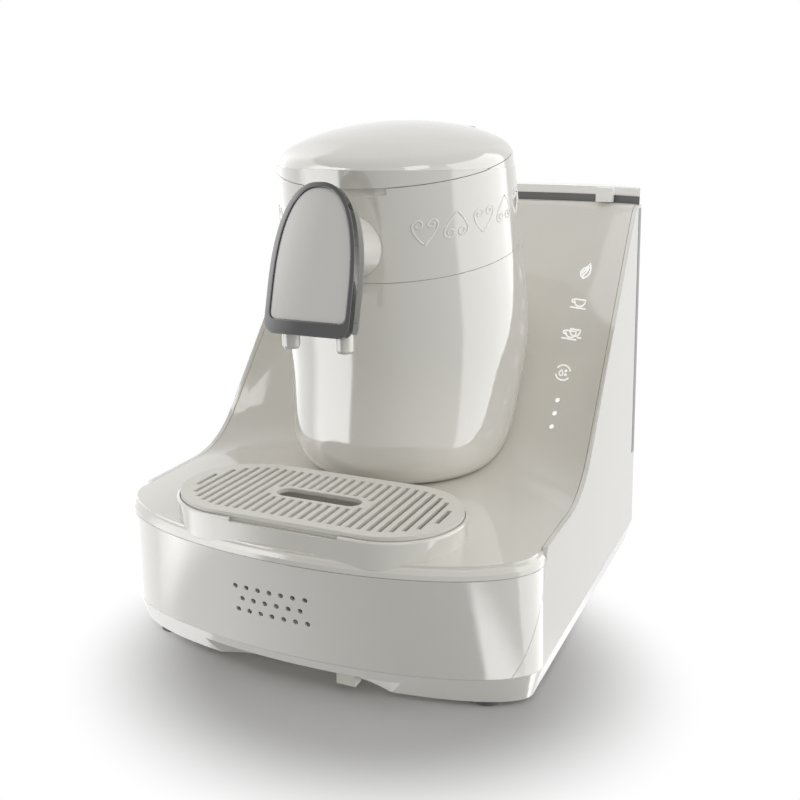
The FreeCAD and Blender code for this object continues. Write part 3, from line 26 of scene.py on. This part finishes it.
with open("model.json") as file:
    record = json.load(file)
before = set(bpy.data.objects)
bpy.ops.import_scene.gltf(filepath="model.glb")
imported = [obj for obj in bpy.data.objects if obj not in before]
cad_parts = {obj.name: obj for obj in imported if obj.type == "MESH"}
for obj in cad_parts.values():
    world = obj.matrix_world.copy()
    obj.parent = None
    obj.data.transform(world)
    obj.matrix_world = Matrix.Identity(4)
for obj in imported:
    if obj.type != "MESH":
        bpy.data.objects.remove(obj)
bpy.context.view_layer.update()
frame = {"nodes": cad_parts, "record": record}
NODES = frame["nodes"]
MM = 0.001
HOUSING = "housing"


# Node helpers


def noise(tree, scale, detail=3.0):
    """Noise over the object's own coordinates, which are metres here."""
    place = tree.nodes.new("ShaderNodeTexCoord")
    grain = tree.nodes.new("ShaderNodeTexNoise")
    grain.inputs["Scale"].default_value = scale
    grain.inputs["Detail"].default_value = detail
    tree.links.new(place.outputs["Object"], grain.inputs["Vector"])
    return grain.outputs["Fac"]


def map_range(tree, source, start=(0.0, 1.0), target=(0.0, 1.0), smooth=False):
    """Maps a value from one range to another."""
    scale = tree.nodes.new("ShaderNodeMapRange")
    if smooth:
        scale.interpolation_type = "SMOOTHSTEP"
    scale.inputs["From Min"].default_value, scale.inputs["From Max"].default_value = start
    scale.inputs["To Min"].default_value, scale.inputs["To Max"].default_value = target
    tree.links.new(source, scale.inputs["Value"])
    return scale.outputs["Result"]


def calculate(tree, operation, first, second):
    """A Math node of two values, of which the second may be a plain number."""
    node = tree.nodes.new("ShaderNodeMath")
    node.operation = operation
    tree.links.new(first, node.inputs[0])
    if isinstance(second, float):
        node.inputs[1].default_value = second
    else:
        tree.links.new(second, node.inputs[1])
    return node.outputs[0]


def tint(tree, factor, low, high):
    """Blends two colours by a value."""
    mix = tree.nodes.new("ShaderNodeMix")
    mix.data_type = "RGBA"
    mix.inputs[6].default_value = (*low, 1)
    mix.inputs[7].default_value = (*high, 1)
    tree.links.new(factor, mix.inputs[0])
    return mix.outputs[2]


def mix_shaders(tree, factor, first, second, surface):
    """Blends two shaders by a value and sends the result to a surface socket."""
    mix = tree.nodes.new("ShaderNodeMixShader")
    tree.links.new(factor, mix.inputs[0])
    tree.links.new(first.outputs[0], mix.inputs[1])
    tree.links.new(second.outputs[0], mix.inputs[2])
    tree.links.new(mix.outputs[0], surface)


def of_rays(tree, kinds):
    """1 for the given kinds of ray, 0 for the rest."""
    path = tree.nodes.new("ShaderNodeLightPath")
    value = path.outputs[kinds[0]]
    for kind in kinds[1:]:
        value = calculate(tree, "MAXIMUM", value, path.outputs[kind])
    return value


# Materials


def node_material(name):
    """A material with one principled shader, its node tree and that shader."""
    material = bpy.data.materials.new(name)
    material.use_nodes = True
    tree = material.node_tree
    return material, tree, tree.nodes["Principled BSDF"]


def vary_colour(tree, shader, colour, scale, darkest):
    """Lets the colour flow between itself and a slightly darker one."""
    darker = [channel * darkest for channel in colour]
    tree.links.new(tint(tree, noise(tree, scale, 2.0), darker, colour), shader.inputs["Base Color"])


def vary_gloss(tree, shader, rough, scale, detail, smoothest, dullest):
    """Lets the roughness change from spot to spot."""
    gloss = map_range(tree, noise(tree, scale, detail), target=(rough * smoothest, rough * dullest))
    tree.links.new(gloss, shader.inputs["Roughness"])


def surface_detail(tree, shader, edge, grain_scale, grain_height):
    """Softened edges of the given radius and a fine surface grain."""
    bevel = tree.nodes.new("ShaderNodeBevel")
    bevel.samples = 4
    bevel.inputs["Radius"].default_value = edge
    bump = tree.nodes.new("ShaderNodeBump")
    bump.inputs["Strength"].default_value = 1.0
    bump.inputs["Distance"].default_value = grain_height
    tree.links.new(noise(tree, grain_scale), bump.inputs["Height"])
    tree.links.new(bevel.outputs["Normal"], bump.inputs["Normal"])
    tree.links.new(bump.outputs["Normal"], shader.inputs["Normal"])


def plastic(name, colour, rough, edge=0.4 * MM, coat=0.0, grain=0.004 * MM, glow=0.0):
    """Moulded plastic: slight flow in its colour, uneven gloss and rounded edges.

    A little glow is painted light: an emission that stands for light that shines through it, though the
    plastic is no lamp.
    """
    material, tree, shader = node_material(name)
    vary_colour(tree, shader, colour, scale=9.0, darkest=0.975)
    vary_gloss(tree, shader, rough, scale=60.0, detail=4.0, smoothest=0.8, dullest=1.25)
    shader.inputs["IOR"].default_value = 1.5
    shader.inputs["Coat Weight"].default_value = coat
    shader.inputs["Coat Roughness"].default_value = 0.03
    # Painted light: white emission that makes the plastic glow though it is no lamp.
    shader.inputs["Emission Color"].default_value = (1, 1, 1, 1)
    shader.inputs["Emission Strength"].default_value = glow
    surface_detail(tree, shader, edge, grain_scale=900.0, grain_height=grain)
    return material


def metal(name, colour, rough, edge=0.3 * MM, streak=0.0):
    """Polished or brushed metal."""
    material, tree, shader = node_material(name)
    shader.inputs["Metallic"].default_value = 1.0
    shader.inputs["Base Color"].default_value = (*colour, 1)
    vary_gloss(tree, shader, rough, scale=300.0, detail=3.0, smoothest=0.7, dullest=1.4)
    shader.inputs["Anisotropic"].default_value = streak
    surface_detail(tree, shader, edge, grain_scale=1200.0, grain_height=0.002 * MM)
    return material


def smoked(name, colour, rough):
    """Smoked clear plastic."""
    material, tree, shader = node_material(name)
    vary_colour(tree, shader, colour, scale=6.0, darkest=0.94)
    shader.inputs["Roughness"].default_value = rough
    shader.inputs["Transmission Weight"].default_value = 0.25
    shader.inputs["IOR"].default_value = 1.45
    surface_detail(tree, shader, edge=0.5 * MM, grain_scale=500.0, grain_height=0.002 * MM)
    return material


IVORY = (0.74, 0.72, 0.67)
DECK_IVORY = (0.73, 0.71, 0.655)
MATERIALS = {
    "shell_white": plastic("shell_white_gloss", IVORY, 0.10, coat=0.8),
    "deck_white": plastic("deck_white_gloss", DECK_IVORY, 0.12, coat=0.6),
    "tray_ivory": plastic("tray_satin", (0.72, 0.705, 0.65), 0.42, edge=0.7 * MM, grain=0.02 * MM),
    # Chrome with a base colour far darker than real chrome: painted dark reflection, standing for the dark
    # surroundings it mirrors.
    "chrome": metal("chrome_painted_dark_reflection", (0.10, 0.10, 0.101), 0.05, edge=0.6 * MM),
    "face_white": plastic("face_gloss", (0.74, 0.73, 0.70), 0.07, edge=0.6 * MM, coat=1.0),
    "smoke_tank": smoked("smoked_tank", (0.26, 0.265, 0.27), 0.16),
    "rubber_black": plastic("foot_rubber", (0.03, 0.03, 0.032), 0.65, grain=0.05 * MM),
    "inner_grey": plastic("inner_moulding", (0.10, 0.105, 0.11), 0.5),
    "steel": metal("brushed_steel", (0.66, 0.66, 0.65), 0.22, streak=0.5),
    "cast_alu": metal("cast_plate", (0.6, 0.6, 0.61), 0.45),
    "silicone": plastic("silicone_hose", (0.62, 0.62, 0.60), 0.45),
    "board_green": plastic("board_lacquer", (0.03, 0.16, 0.08), 0.3),
    # The lid is translucent; its glow is painted light that stands for the light shining through it.
    "lid_clear": plastic("lid_translucent_painted_glow", (0.90, 0.895, 0.875), 0.18, coat=0.4, glow=0.10),
    # This very light plastic glows though it is no lamp: the glow is painted light that brightens the part.
    "light_white": plastic("light_white_painted_glow", (0.95, 0.95, 0.94), 0.3, glow=0.45),
}
# The white is the print's own colour; its glow is painted light, since the print is no lamp.
WHITE_PRINT = plastic("white_print_painted_glow", (0.93, 0.93, 0.92), 0.35, glow=0.4)


def dress_nodes():
    """Gives each CAD node the material of its slot."""
    for part in frame["record"]["subparts"]:
        for slot in NODES[part["node"]].material_slots:
            slot.material = MATERIALS[part["material_slot"]]


dress_nodes()


# Pieces that lie on a CAD node

PRINT_LIFT = 0.12 * MM


def surface_of(node):
    """A node's surface, to lay things on."""
    mesh = bmesh.new()
    mesh.from_mesh(NODES[node].data)
    tree = BVHTree.FromBMesh(mesh)
    mesh.free()
    return tree


def add_piece(name, data, material):
    """Adds a piece that belongs to the housing."""
    piece = bpy.data.objects.new(name, data)
    bpy.context.collection.objects.link(piece)
    data.materials.append(material)
    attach(piece, HOUSING)


def add_mesh_piece(name, mesh, material):
    """Makes a piece of the housing from a bmesh."""
    data = bpy.data.meshes.new(name)
    mesh.to_mesh(data)
    mesh.free()
    add_piece(name, data, material)


# Touch symbols on the sloping back wall

BACK_WALL = surface_of("deck_shell")
WALL_SLOPE = math.radians(51)
AHEAD_OF_WALL_Y = -50.0 * MM
SYMBOL_X = 79.7 * MM
SAME_POINT = 1e-9

# Heights of the middles of the symbols
BEAN_Z = 172.0 * MM
CUP_Z = 155.4 * MM
TWO_CUPS_Z = 140.6 * MM
CLEAN_Z = 122.3 * MM


def on_back_wall(point, height):
    """Lays a point of a symbol's own plane, whose middle is at a height, on the back wall."""
    start = Vector((SYMBOL_X + point.x, AHEAD_OF_WALL_Y, height + point.y * math.sin(WALL_SLOPE)))
    hit, normal, _, _ = BACK_WALL.ray_cast(start, Vector((0, 1, 0)))
    if normal.y > 0:
        normal = -normal
    return hit + normal * PRINT_LIFT


def stroke_edges(points, width):
    """Both edges of a flat stroke along a line of points, which may be closed."""
    closed = (points[0] - points[-1]).length < SAME_POINT
    last = len(points) - 1
    for number, point in enumerate(points):
        before = points[number - 1] if number else points[-2 if closed else 0]
        after = points[number + 1] if number < last else points[1 if closed else last]
        along = (after - before).normalized()
        side = Vector((-along.y, along.x)) * width / 2
        yield point + side, point - side


def print_symbol(name, strokes, width, height):
    """Prints a symbol on the back wall: each stroke is a list of points in millimetres."""
    mesh = bmesh.new()
    for stroke in strokes:
        points = [Vector((x * MM, y * MM)) for x, y in stroke]
        edges = [[mesh.verts.new(on_back_wall(point, height)) for point in pair]
                 for pair in stroke_edges(points, width)]
        for (left, right), (next_left, next_right) in zip(edges, edges[1:]):
            mesh.faces.new((left, next_left, next_right, right))
    add_mesh_piece(name, mesh, WHITE_PRINT)


def arc(centre, radius, start, stop, steps=16):
    """Points of an arc, angles in degrees."""
    angles = [math.radians(start + (stop - start) * number / steps) for number in range(steps + 1)]
    return [(centre[0] + radius * math.cos(angle), centre[1] + radius * math.sin(angle)) for angle in angles]


def cup(dx, dy, scale):
    """A bowl with a handle at its left, and its saucer, moved and then scaled."""
    bowl = [(-3.4, 3.0), (-3.0, 0.8), (-2.0, -0.9), (-0.6, -1.7), (1.6, -1.7), (3.0, -0.9), (4.0, 0.8),
            (4.4, 3.0), (-3.4, 3.0)]
    handle = [(-3.3, 2.6), (-4.9, 2.4), (-5.0, 1.2), (-4.0, 0.4), (-3.0, 0.6)]
    saucer = [(-5.6, -2.9), (5.4, -2.9)]
    return [[((x + dx) * scale, (y + dy) * scale) for x, y in stroke] for stroke in (bowl, handle, saucer)]


def print_symbols():
    """A bean, one cup, two cups, and a rinsing ring with drops, from the top down."""
    husk = [(-0.6, -4.9), (-2.6, -2.8), (-2.9, -0.6), (-1.5, 1.5), (0.8, 3.0), (1.9, 5.6), (2.9, 1.9),
            (2.9, -0.8), (1.8, -3.0), (-0.6, -4.9)]
    crease = [(-0.8, -4.3), (-0.9, -2.6), (0.5, -1.0), (1.2, 0.8), (1.5, 3.2)]
    vein = [(-1.9, -2.0), (-1.3, -0.4), (0.1, 0.9), (0.6, 2.0)]
    print_symbol("symbol_bean", [husk, crease, vein], 0.85 * MM, BEAN_Z)

    print_symbol("symbol_cup", cup(0.3, 0.3, 0.9), 0.8 * MM, CUP_Z)

    near_cup = cup(-1.2, -0.6, 0.85)
    far_bowl = cup(1.6, 0.9, 0.85)[0]
    far_saucer = [(3.6, -1.3), (6.4, -1.3)]
    print_symbol("symbol_two_cups", near_cup + [far_bowl, far_saucer], 0.8 * MM, TWO_CUPS_Z)

    rings = [arc((0, 0), 4.5, 20, 150), arc((0, 0), 4.5, 200, 330)]
    drop = [(-1.1, 1.7), (-2.2, -0.3), (-2.0, -1.5), (-1.1, -2.0), (-0.1, -1.5), (0.0, -0.3), (-1.1, 1.7)]
    small_drops = [arc((1.5, 1.3), 0.45, 0, 360, 10), arc((1.7, -1.0), 0.45, 0, 360, 10)]
    print_symbol("symbol_clean", rings + [drop] + small_drops, 0.75 * MM, CLEAN_Z)


print_symbols()


# Smoked trim on the rear edges of the side panels

TRIM_LOW, TRIM_HIGH = 62.0, 206.0
TRIM_FRONT, TRIM_BACK = 92.6, 98.6
TRIM_STEPS = 24
BESIDE_X = 200.0 * MM


def rear_trim(side, panel, name):
    """A thin dark strip along a side panel's rear edge; side is 1 at the right and -1 at the left."""
    surface = surface_of(panel)
    mesh = bmesh.new()
    rows = []
    for step in range(TRIM_STEPS + 1):
        z = (TRIM_LOW + (TRIM_HIGH - TRIM_LOW) * step / TRIM_STEPS) * MM
        row = []
        for y in (TRIM_FRONT * MM, TRIM_BACK * MM):
            hit = surface.ray_cast(Vector((side * BESIDE_X, y, z)), Vector((-side, 0, 0)))[0]
            row.append(mesh.verts.new(hit + Vector((side * PRINT_LIFT, 0, 0))))
        rows.append(row)
    for low, high in zip(rows, rows[1:]):
        mesh.faces.new((low[0], low[1], high[1], high[0]))
    add_mesh_piece(name, mesh, MATERIALS["smoke_tank"])


rear_trim(1, "side_panel_right", "rear_trim_right")
rear_trim(-1, "side_panel_left", "rear_trim_left")


# Raised scroll ornament around the head

BAND = surface_of("head_band")
BAND_AXIS_Y = -8.0 * MM
BAND_RADIUS = 61.5 * MM
OUTSIDE_BAND = 120.0 * MM

# The row of hearts follows the sloping band from one side of the pouring head round to the other
FIRST_HEART, LAST_HEART, HEART_PITCH = math.radians(35.6), math.radians(324.5), math.radians(15.0)
ROW_HEIGHT, ROW_RISE = 214.7, 12.3
HEART_LEAN = 0.2

HEART_WIDTH = 1.16
HEART_HEIGHT = 0.96
LINE_RADIUS = 0.62 * MM
LINE_SINK = 0.32 * MM

# Each half of a heart starts as a curl that opens from its middle
CURL_MIDDLE = (2.95, 2.9)
CURL_START, CURL_TURN, CURL_STEPS = 410.0, 430.0, 21
CURL_INNER, CURL_GROWTH, CURL_EASE = 0.55, 2.1, 0.8


def scroll_heart():
    """One half of an open heart whose upper end curls in, in millimetres."""
    curl = []
    for step in range(CURL_STEPS + 1):
        angle = math.radians(CURL_START - CURL_TURN * step / CURL_STEPS)
        reach = CURL_INNER + CURL_GROWTH * (step / CURL_STEPS) ** CURL_EASE
        curl.append((CURL_MIDDLE[0] + reach * math.cos(angle), CURL_MIDDLE[1] + reach * math.sin(angle)))
    return curl + [(5.0, 0.2), (3.7, -2.2), (2.0, -4.7), (0.35, -6.6)]


def on_band(x, y, angle):
    """Lays a point of a heart's own plane on the head band, the heart's middle at an angle from the front."""
    turn = angle + (x * MM) / BAND_RADIUS
    z = (ROW_HEIGHT - ROW_RISE * math.cos(angle)) * MM + y * MM + x * MM * HEART_LEAN * math.sin(angle)
    start = Vector((math.sin(turn) * OUTSIDE_BAND, BAND_AXIS_Y - math.cos(turn) * OUTSIDE_BAND, z))
    inward = Vector((0, BAND_AXIS_Y, z)) - start
    hit, normal, _, _ = BAND.ray_cast(start, inward.normalized())
    return hit - normal * LINE_SINK if normal.dot(inward) < 0 else hit + normal * LINE_SINK


def ornament():
    """Open hearts around the band, upright and upside down in turn, as raised lines."""
    curve = bpy.data.curves.new("ornament", "CURVE")
    curve.dimensions = "3D"
    curve.bevel_depth = LINE_RADIUS
    curve.bevel_resolution = 3
    hearts = int((LAST_HEART - FIRST_HEART) / HEART_PITCH) + 1
    for number in range(hearts):
        angle = FIRST_HEART + HEART_PITCH * number
        upright = 1 if number % 2 == 0 else -1
        for side in (-1, 1):
            points = [on_band(x * side * HEART_WIDTH, y * HEART_HEIGHT * upright, angle)
                      for x, y in scroll_heart()]
            spline = curve.splines.new("NURBS")
            spline.points.add(len(points) - 1)
            for point, target in zip(spline.points, points):
                point.co = (*target, 1)
            spline.order_u = 3
            spline.use_endpoint_u = True
    add_piece("ornament", curve, MATERIALS["shell_white"])


ornament()


# Camera, lights and backdrop

CAMERA_PLACE = Vector((217.5, -497.0, 253.8)) * MM
CAMERA_AZIMUTH, CAMERA_ELEVATION = math.radians(23.89), math.radians(15.23)
CAMERA_LENS, SENSOR_WIDTH = 46.2, 36.0

OBJECT_MIDDLE = (0, 0, 0.12)
AMBIENT = 0.47

# Name, place, width, height, power and whether gloss mirrors it
SOFT_BOXES = [
    ("right_box", (1.35, 0.10, 0.75), 1.2, 1.3, 6.5, False),
    ("left_box", (-1.35, 0.10, 0.75), 1.2, 1.3, 6.0, False),
    ("top_box", (0.0, 0.45, 1.7), 1.4, 0.9, 2.0, False),
    ("key_box", (0.72, -0.76, 1.25), 0.50, 0.50, 2.6, True),
]

FLOOR_HALF = 12.0
# The floor's grey, which the camera sees only near the object's front: painted shade that darkens it there.
FLOOR_DARK, FLOOR_LIGHT = (0.50, 0.50, 0.50), (0.52, 0.52, 0.52)
# The floor turns white between two distances from a middle under the object's front; inside, its grey is
# painted shade around the object's real shadow
FADE_SHIFT, FADE_SCALE = (-0.020, 0.085, 0.0), (0.90, 1.0, 1.0)
FADE_START, FADE_END = 0.072, 0.142

# Reflection cards: a drum around the object whose lower and upper halves have a brightness each by azimuth.
# Stops are degrees from the front, positive to the right, and a radiance.
CARD_RADIUS, CARD_LOW, CARD_HIGH, CARD_SIDES = 1.3, -1.6, 1.45, 96
CARD_SPLIT, SPLIT_SOFTNESS = -0.70, 0.08
RADIANCE_LIMIT = 10.0
UPPER_CARDS = [(-180, 0.9), (-140, 1.0), (-120, 1.9), (-98, 1.9), (-80, 2.2), (-68, 4.8), (-50, 5.6),
               (-32, 5.6), (-29, 0.9), (0, 1.0), (20, 1.3), (74, 1.4), (77, 3.4), (122, 3.4), (128, 3.2),
               (146, 3.2), (152, 1.0), (180, 1.0)]
LOWER_CARDS = [(-180, 0.8), (-130, 0.8), (-100, 1.8), (-70, 2.2), (-67, 2.0), (-50, 2.2), (-20, 1.2),
               (0, 0.7), (33, 0.6), (37, 4.9), (120, 4.6), (140, 1.6), (150, 1.25), (180, 1.25)]


def aim(thing, target):
    """Turns a light or camera towards a point."""
    forward = Vector(target) - thing.location
    thing.rotation_euler = forward.to_track_quat("-Z", "Y").to_euler()


def add_camera():
    """The photograph's viewpoint."""
    camera = bpy.data.objects.new("camera", bpy.data.cameras.new("camera"))
    bpy.context.collection.objects.link(camera)
    camera.location = CAMERA_PLACE
    forward = Vector((-math.sin(CAMERA_AZIMUTH) * math.cos(CAMERA_ELEVATION),
                      math.cos(CAMERA_AZIMUTH) * math.cos(CAMERA_ELEVATION),
                      -math.sin(CAMERA_ELEVATION)))
    aim(camera, camera.location + forward)
    camera.data.sensor_width = SENSOR_WIDTH
    camera.data.lens = CAMERA_LENS
    camera.data.clip_start = 0.01
    bpy.context.scene.camera = camera


def add_soft_box(name, place, width, height, power, mirrored):
    """A rectangular studio light that points at the object."""
    data = bpy.data.lights.new(name, "AREA")
    data.shape = "RECTANGLE"
    data.size, data.size_y = width, height
    data.energy = power
    light = bpy.data.objects.new(name, data)
    bpy.context.collection.objects.link(light)
    light.location = place
    light.visible_glossy = mirrored
    aim(light, OBJECT_MIDDLE)


def add_backdrop(name, points, faces, material):
    """Adds a surface that isn't part of the object."""
    mesh = bpy.data.meshes.new(name)
    mesh.from_pydata(points, [], faces)
    mesh.materials.append(material)
    surface = bpy.data.objects.new(name, mesh)
    bpy.context.collection.objects.link(surface)
    return surface


def add_floor():
    """A grey floor that keeps the object's shadow, darkened near its front by painted shade, and fades to
    pure white around it.
    """
    material, tree, shader = node_material("floor_painted_shade")
    tree.links.new(tint(tree, noise(tree, 3.0), FLOOR_DARK, FLOOR_LIGHT), shader.inputs["Base Color"])
    shader.inputs["Roughness"].default_value = 0.9
    shader.inputs["Specular IOR Level"].default_value = 0.0
    place = tree.nodes.new("ShaderNodeTexCoord")
    shift = tree.nodes.new("ShaderNodeMapping")
    shift.inputs["Location"].default_value = FADE_SHIFT
    shift.inputs["Scale"].default_value = FADE_SCALE
    tree.links.new(place.outputs["Object"], shift.inputs["Vector"])
    reach = tree.nodes.new("ShaderNodeVectorMath")
    reach.operation = "LENGTH"
    tree.links.new(shift.outputs["Vector"], reach.inputs[0])
    fade = map_range(tree, reach.outputs["Value"], start=(FADE_START, FADE_END), smooth=True)
    seen_fade = calculate(tree, "MULTIPLY", fade, of_rays(tree, ["Is Camera Ray"]))
    white = tree.nodes.new("ShaderNodeEmission")
    mix_shaders(tree, seen_fade, shader, white, tree.nodes["Material Output"].inputs["Surface"])
    corners = [(-FLOOR_HALF, -FLOOR_HALF, 0), (FLOOR_HALF, -FLOOR_HALF, 0), (FLOOR_HALF, FLOOR_HALF, 0),
               (-FLOOR_HALF, FLOOR_HALF, 0)]
    floor = add_backdrop("floor", corners, [(0, 1, 2, 3)], material)
    floor.visible_glossy = False


def add_world():
    """A white surround: full strength where it is seen, and a soft fill elsewhere."""
    world = bpy.data.worlds.new("studio")
    bpy.context.scene.world = world
    world.use_nodes = True
    tree = world.node_tree
    tree.nodes.clear()
    seen = tree.nodes.new("ShaderNodeBackground")
    seen.inputs["Color"].default_value = (1, 1, 1, 1)
    seen.inputs["Strength"].default_value = 1.0
    fill = tree.nodes.new("ShaderNodeBackground")
    fill.inputs["Color"].default_value = (1.0, 0.995, 0.98, 1)
    fill.inputs["Strength"].default_value = AMBIENT
    out = tree.nodes.new("ShaderNodeOutputWorld")
    rays = of_rays(tree, ["Is Camera Ray", "Is Glossy Ray", "Is Transmission Ray"])
    mix_shaders(tree, rays, fill, seen, out.inputs["Surface"])


def azimuth_ramp(tree, turn, stops):
    """Brightness by azimuth, as a share of the radiance limit."""
    ramp = tree.nodes.new("ShaderNodeFloatCurve")
    curve = ramp.mapping.curves[0]
    ramp.mapping.use_clip = False
    points = [((degrees + 180) / 360, level / RADIANCE_LIMIT) for degrees, level in stops]
    curve.points[0].location = points[0]
    curve.points[-1].location = points[-1]
    for place in points[1:-1]:
        curve.points.new(*place)
    for point in curve.points:
        point.handle_type = "VECTOR"
    ramp.mapping.update()
    tree.links.new(turn, ramp.inputs["Value"])
    return ramp.outputs["Value"]


def card_material():
    """Light whose strength changes around the drum and between its lower and upper half."""
    material = bpy.data.materials.new("card_light")
    material.use_nodes = True
    tree = material.node_tree
    tree.nodes.clear()
    place = tree.nodes.new("ShaderNodeTexCoord")
    split = tree.nodes.new("ShaderNodeSeparateXYZ")
    tree.links.new(place.outputs["Object"], split.inputs[0])
    ahead = calculate(tree, "MULTIPLY", split.outputs["Y"], -1.0)
    angle = calculate(tree, "ARCTAN2", split.outputs["X"], ahead)
    turn = map_range(tree, angle, start=(-math.pi, math.pi))
    around_split = (CARD_SPLIT - SPLIT_SOFTNESS, CARD_SPLIT + SPLIT_SOFTNESS)
    rise = map_range(tree, split.outputs["Z"], start=around_split, smooth=True)
    level = tree.nodes.new("ShaderNodeMix")
    tree.links.new(rise, level.inputs[0])
    tree.links.new(azimuth_ramp(tree, turn, LOWER_CARDS), level.inputs[2])
    tree.links.new(azimuth_ramp(tree, turn, UPPER_CARDS), level.inputs[3])
    glow = tree.nodes.new("ShaderNodeEmission")
    tree.links.new(calculate(tree, "MULTIPLY", level.outputs[0], RADIANCE_LIMIT), glow.inputs["Strength"])
    out = tree.nodes.new("ShaderNodeOutputMaterial")
    tree.links.new(glow.outputs[0], out.inputs["Surface"])
    material.cycles.emission_sampling = "NONE"
    return material


def add_reflection_cards():
    """Cards all round the object, with bright panels at its sides, that only its gloss shows."""
    points, faces = [], []
    for number in range(CARD_SIDES):
        angle = 2 * math.pi * number / CARD_SIDES
        x, y = CARD_RADIUS * math.sin(angle), -CARD_RADIUS * math.cos(angle)
        points += [(x, y, CARD_LOW), (x, y, CARD_HIGH)]
        after = (number + 1) % CARD_SIDES
        faces.append((2 * number, 2 * after, 2 * after + 1, 2 * number + 1))
    cards = add_backdrop("reflection_cards", points, faces, card_material())
    cards.visible_camera = False
    cards.visible_diffuse = False
    cards.visible_transmission = False
    cards.visible_shadow = False


add_camera()
add_floor()
add_world()
add_reflection_cards()
for soft_box in SOFT_BOXES:
    add_soft_box(*soft_box)
bpy.context.scene.view_settings.view_transform = "Standard"
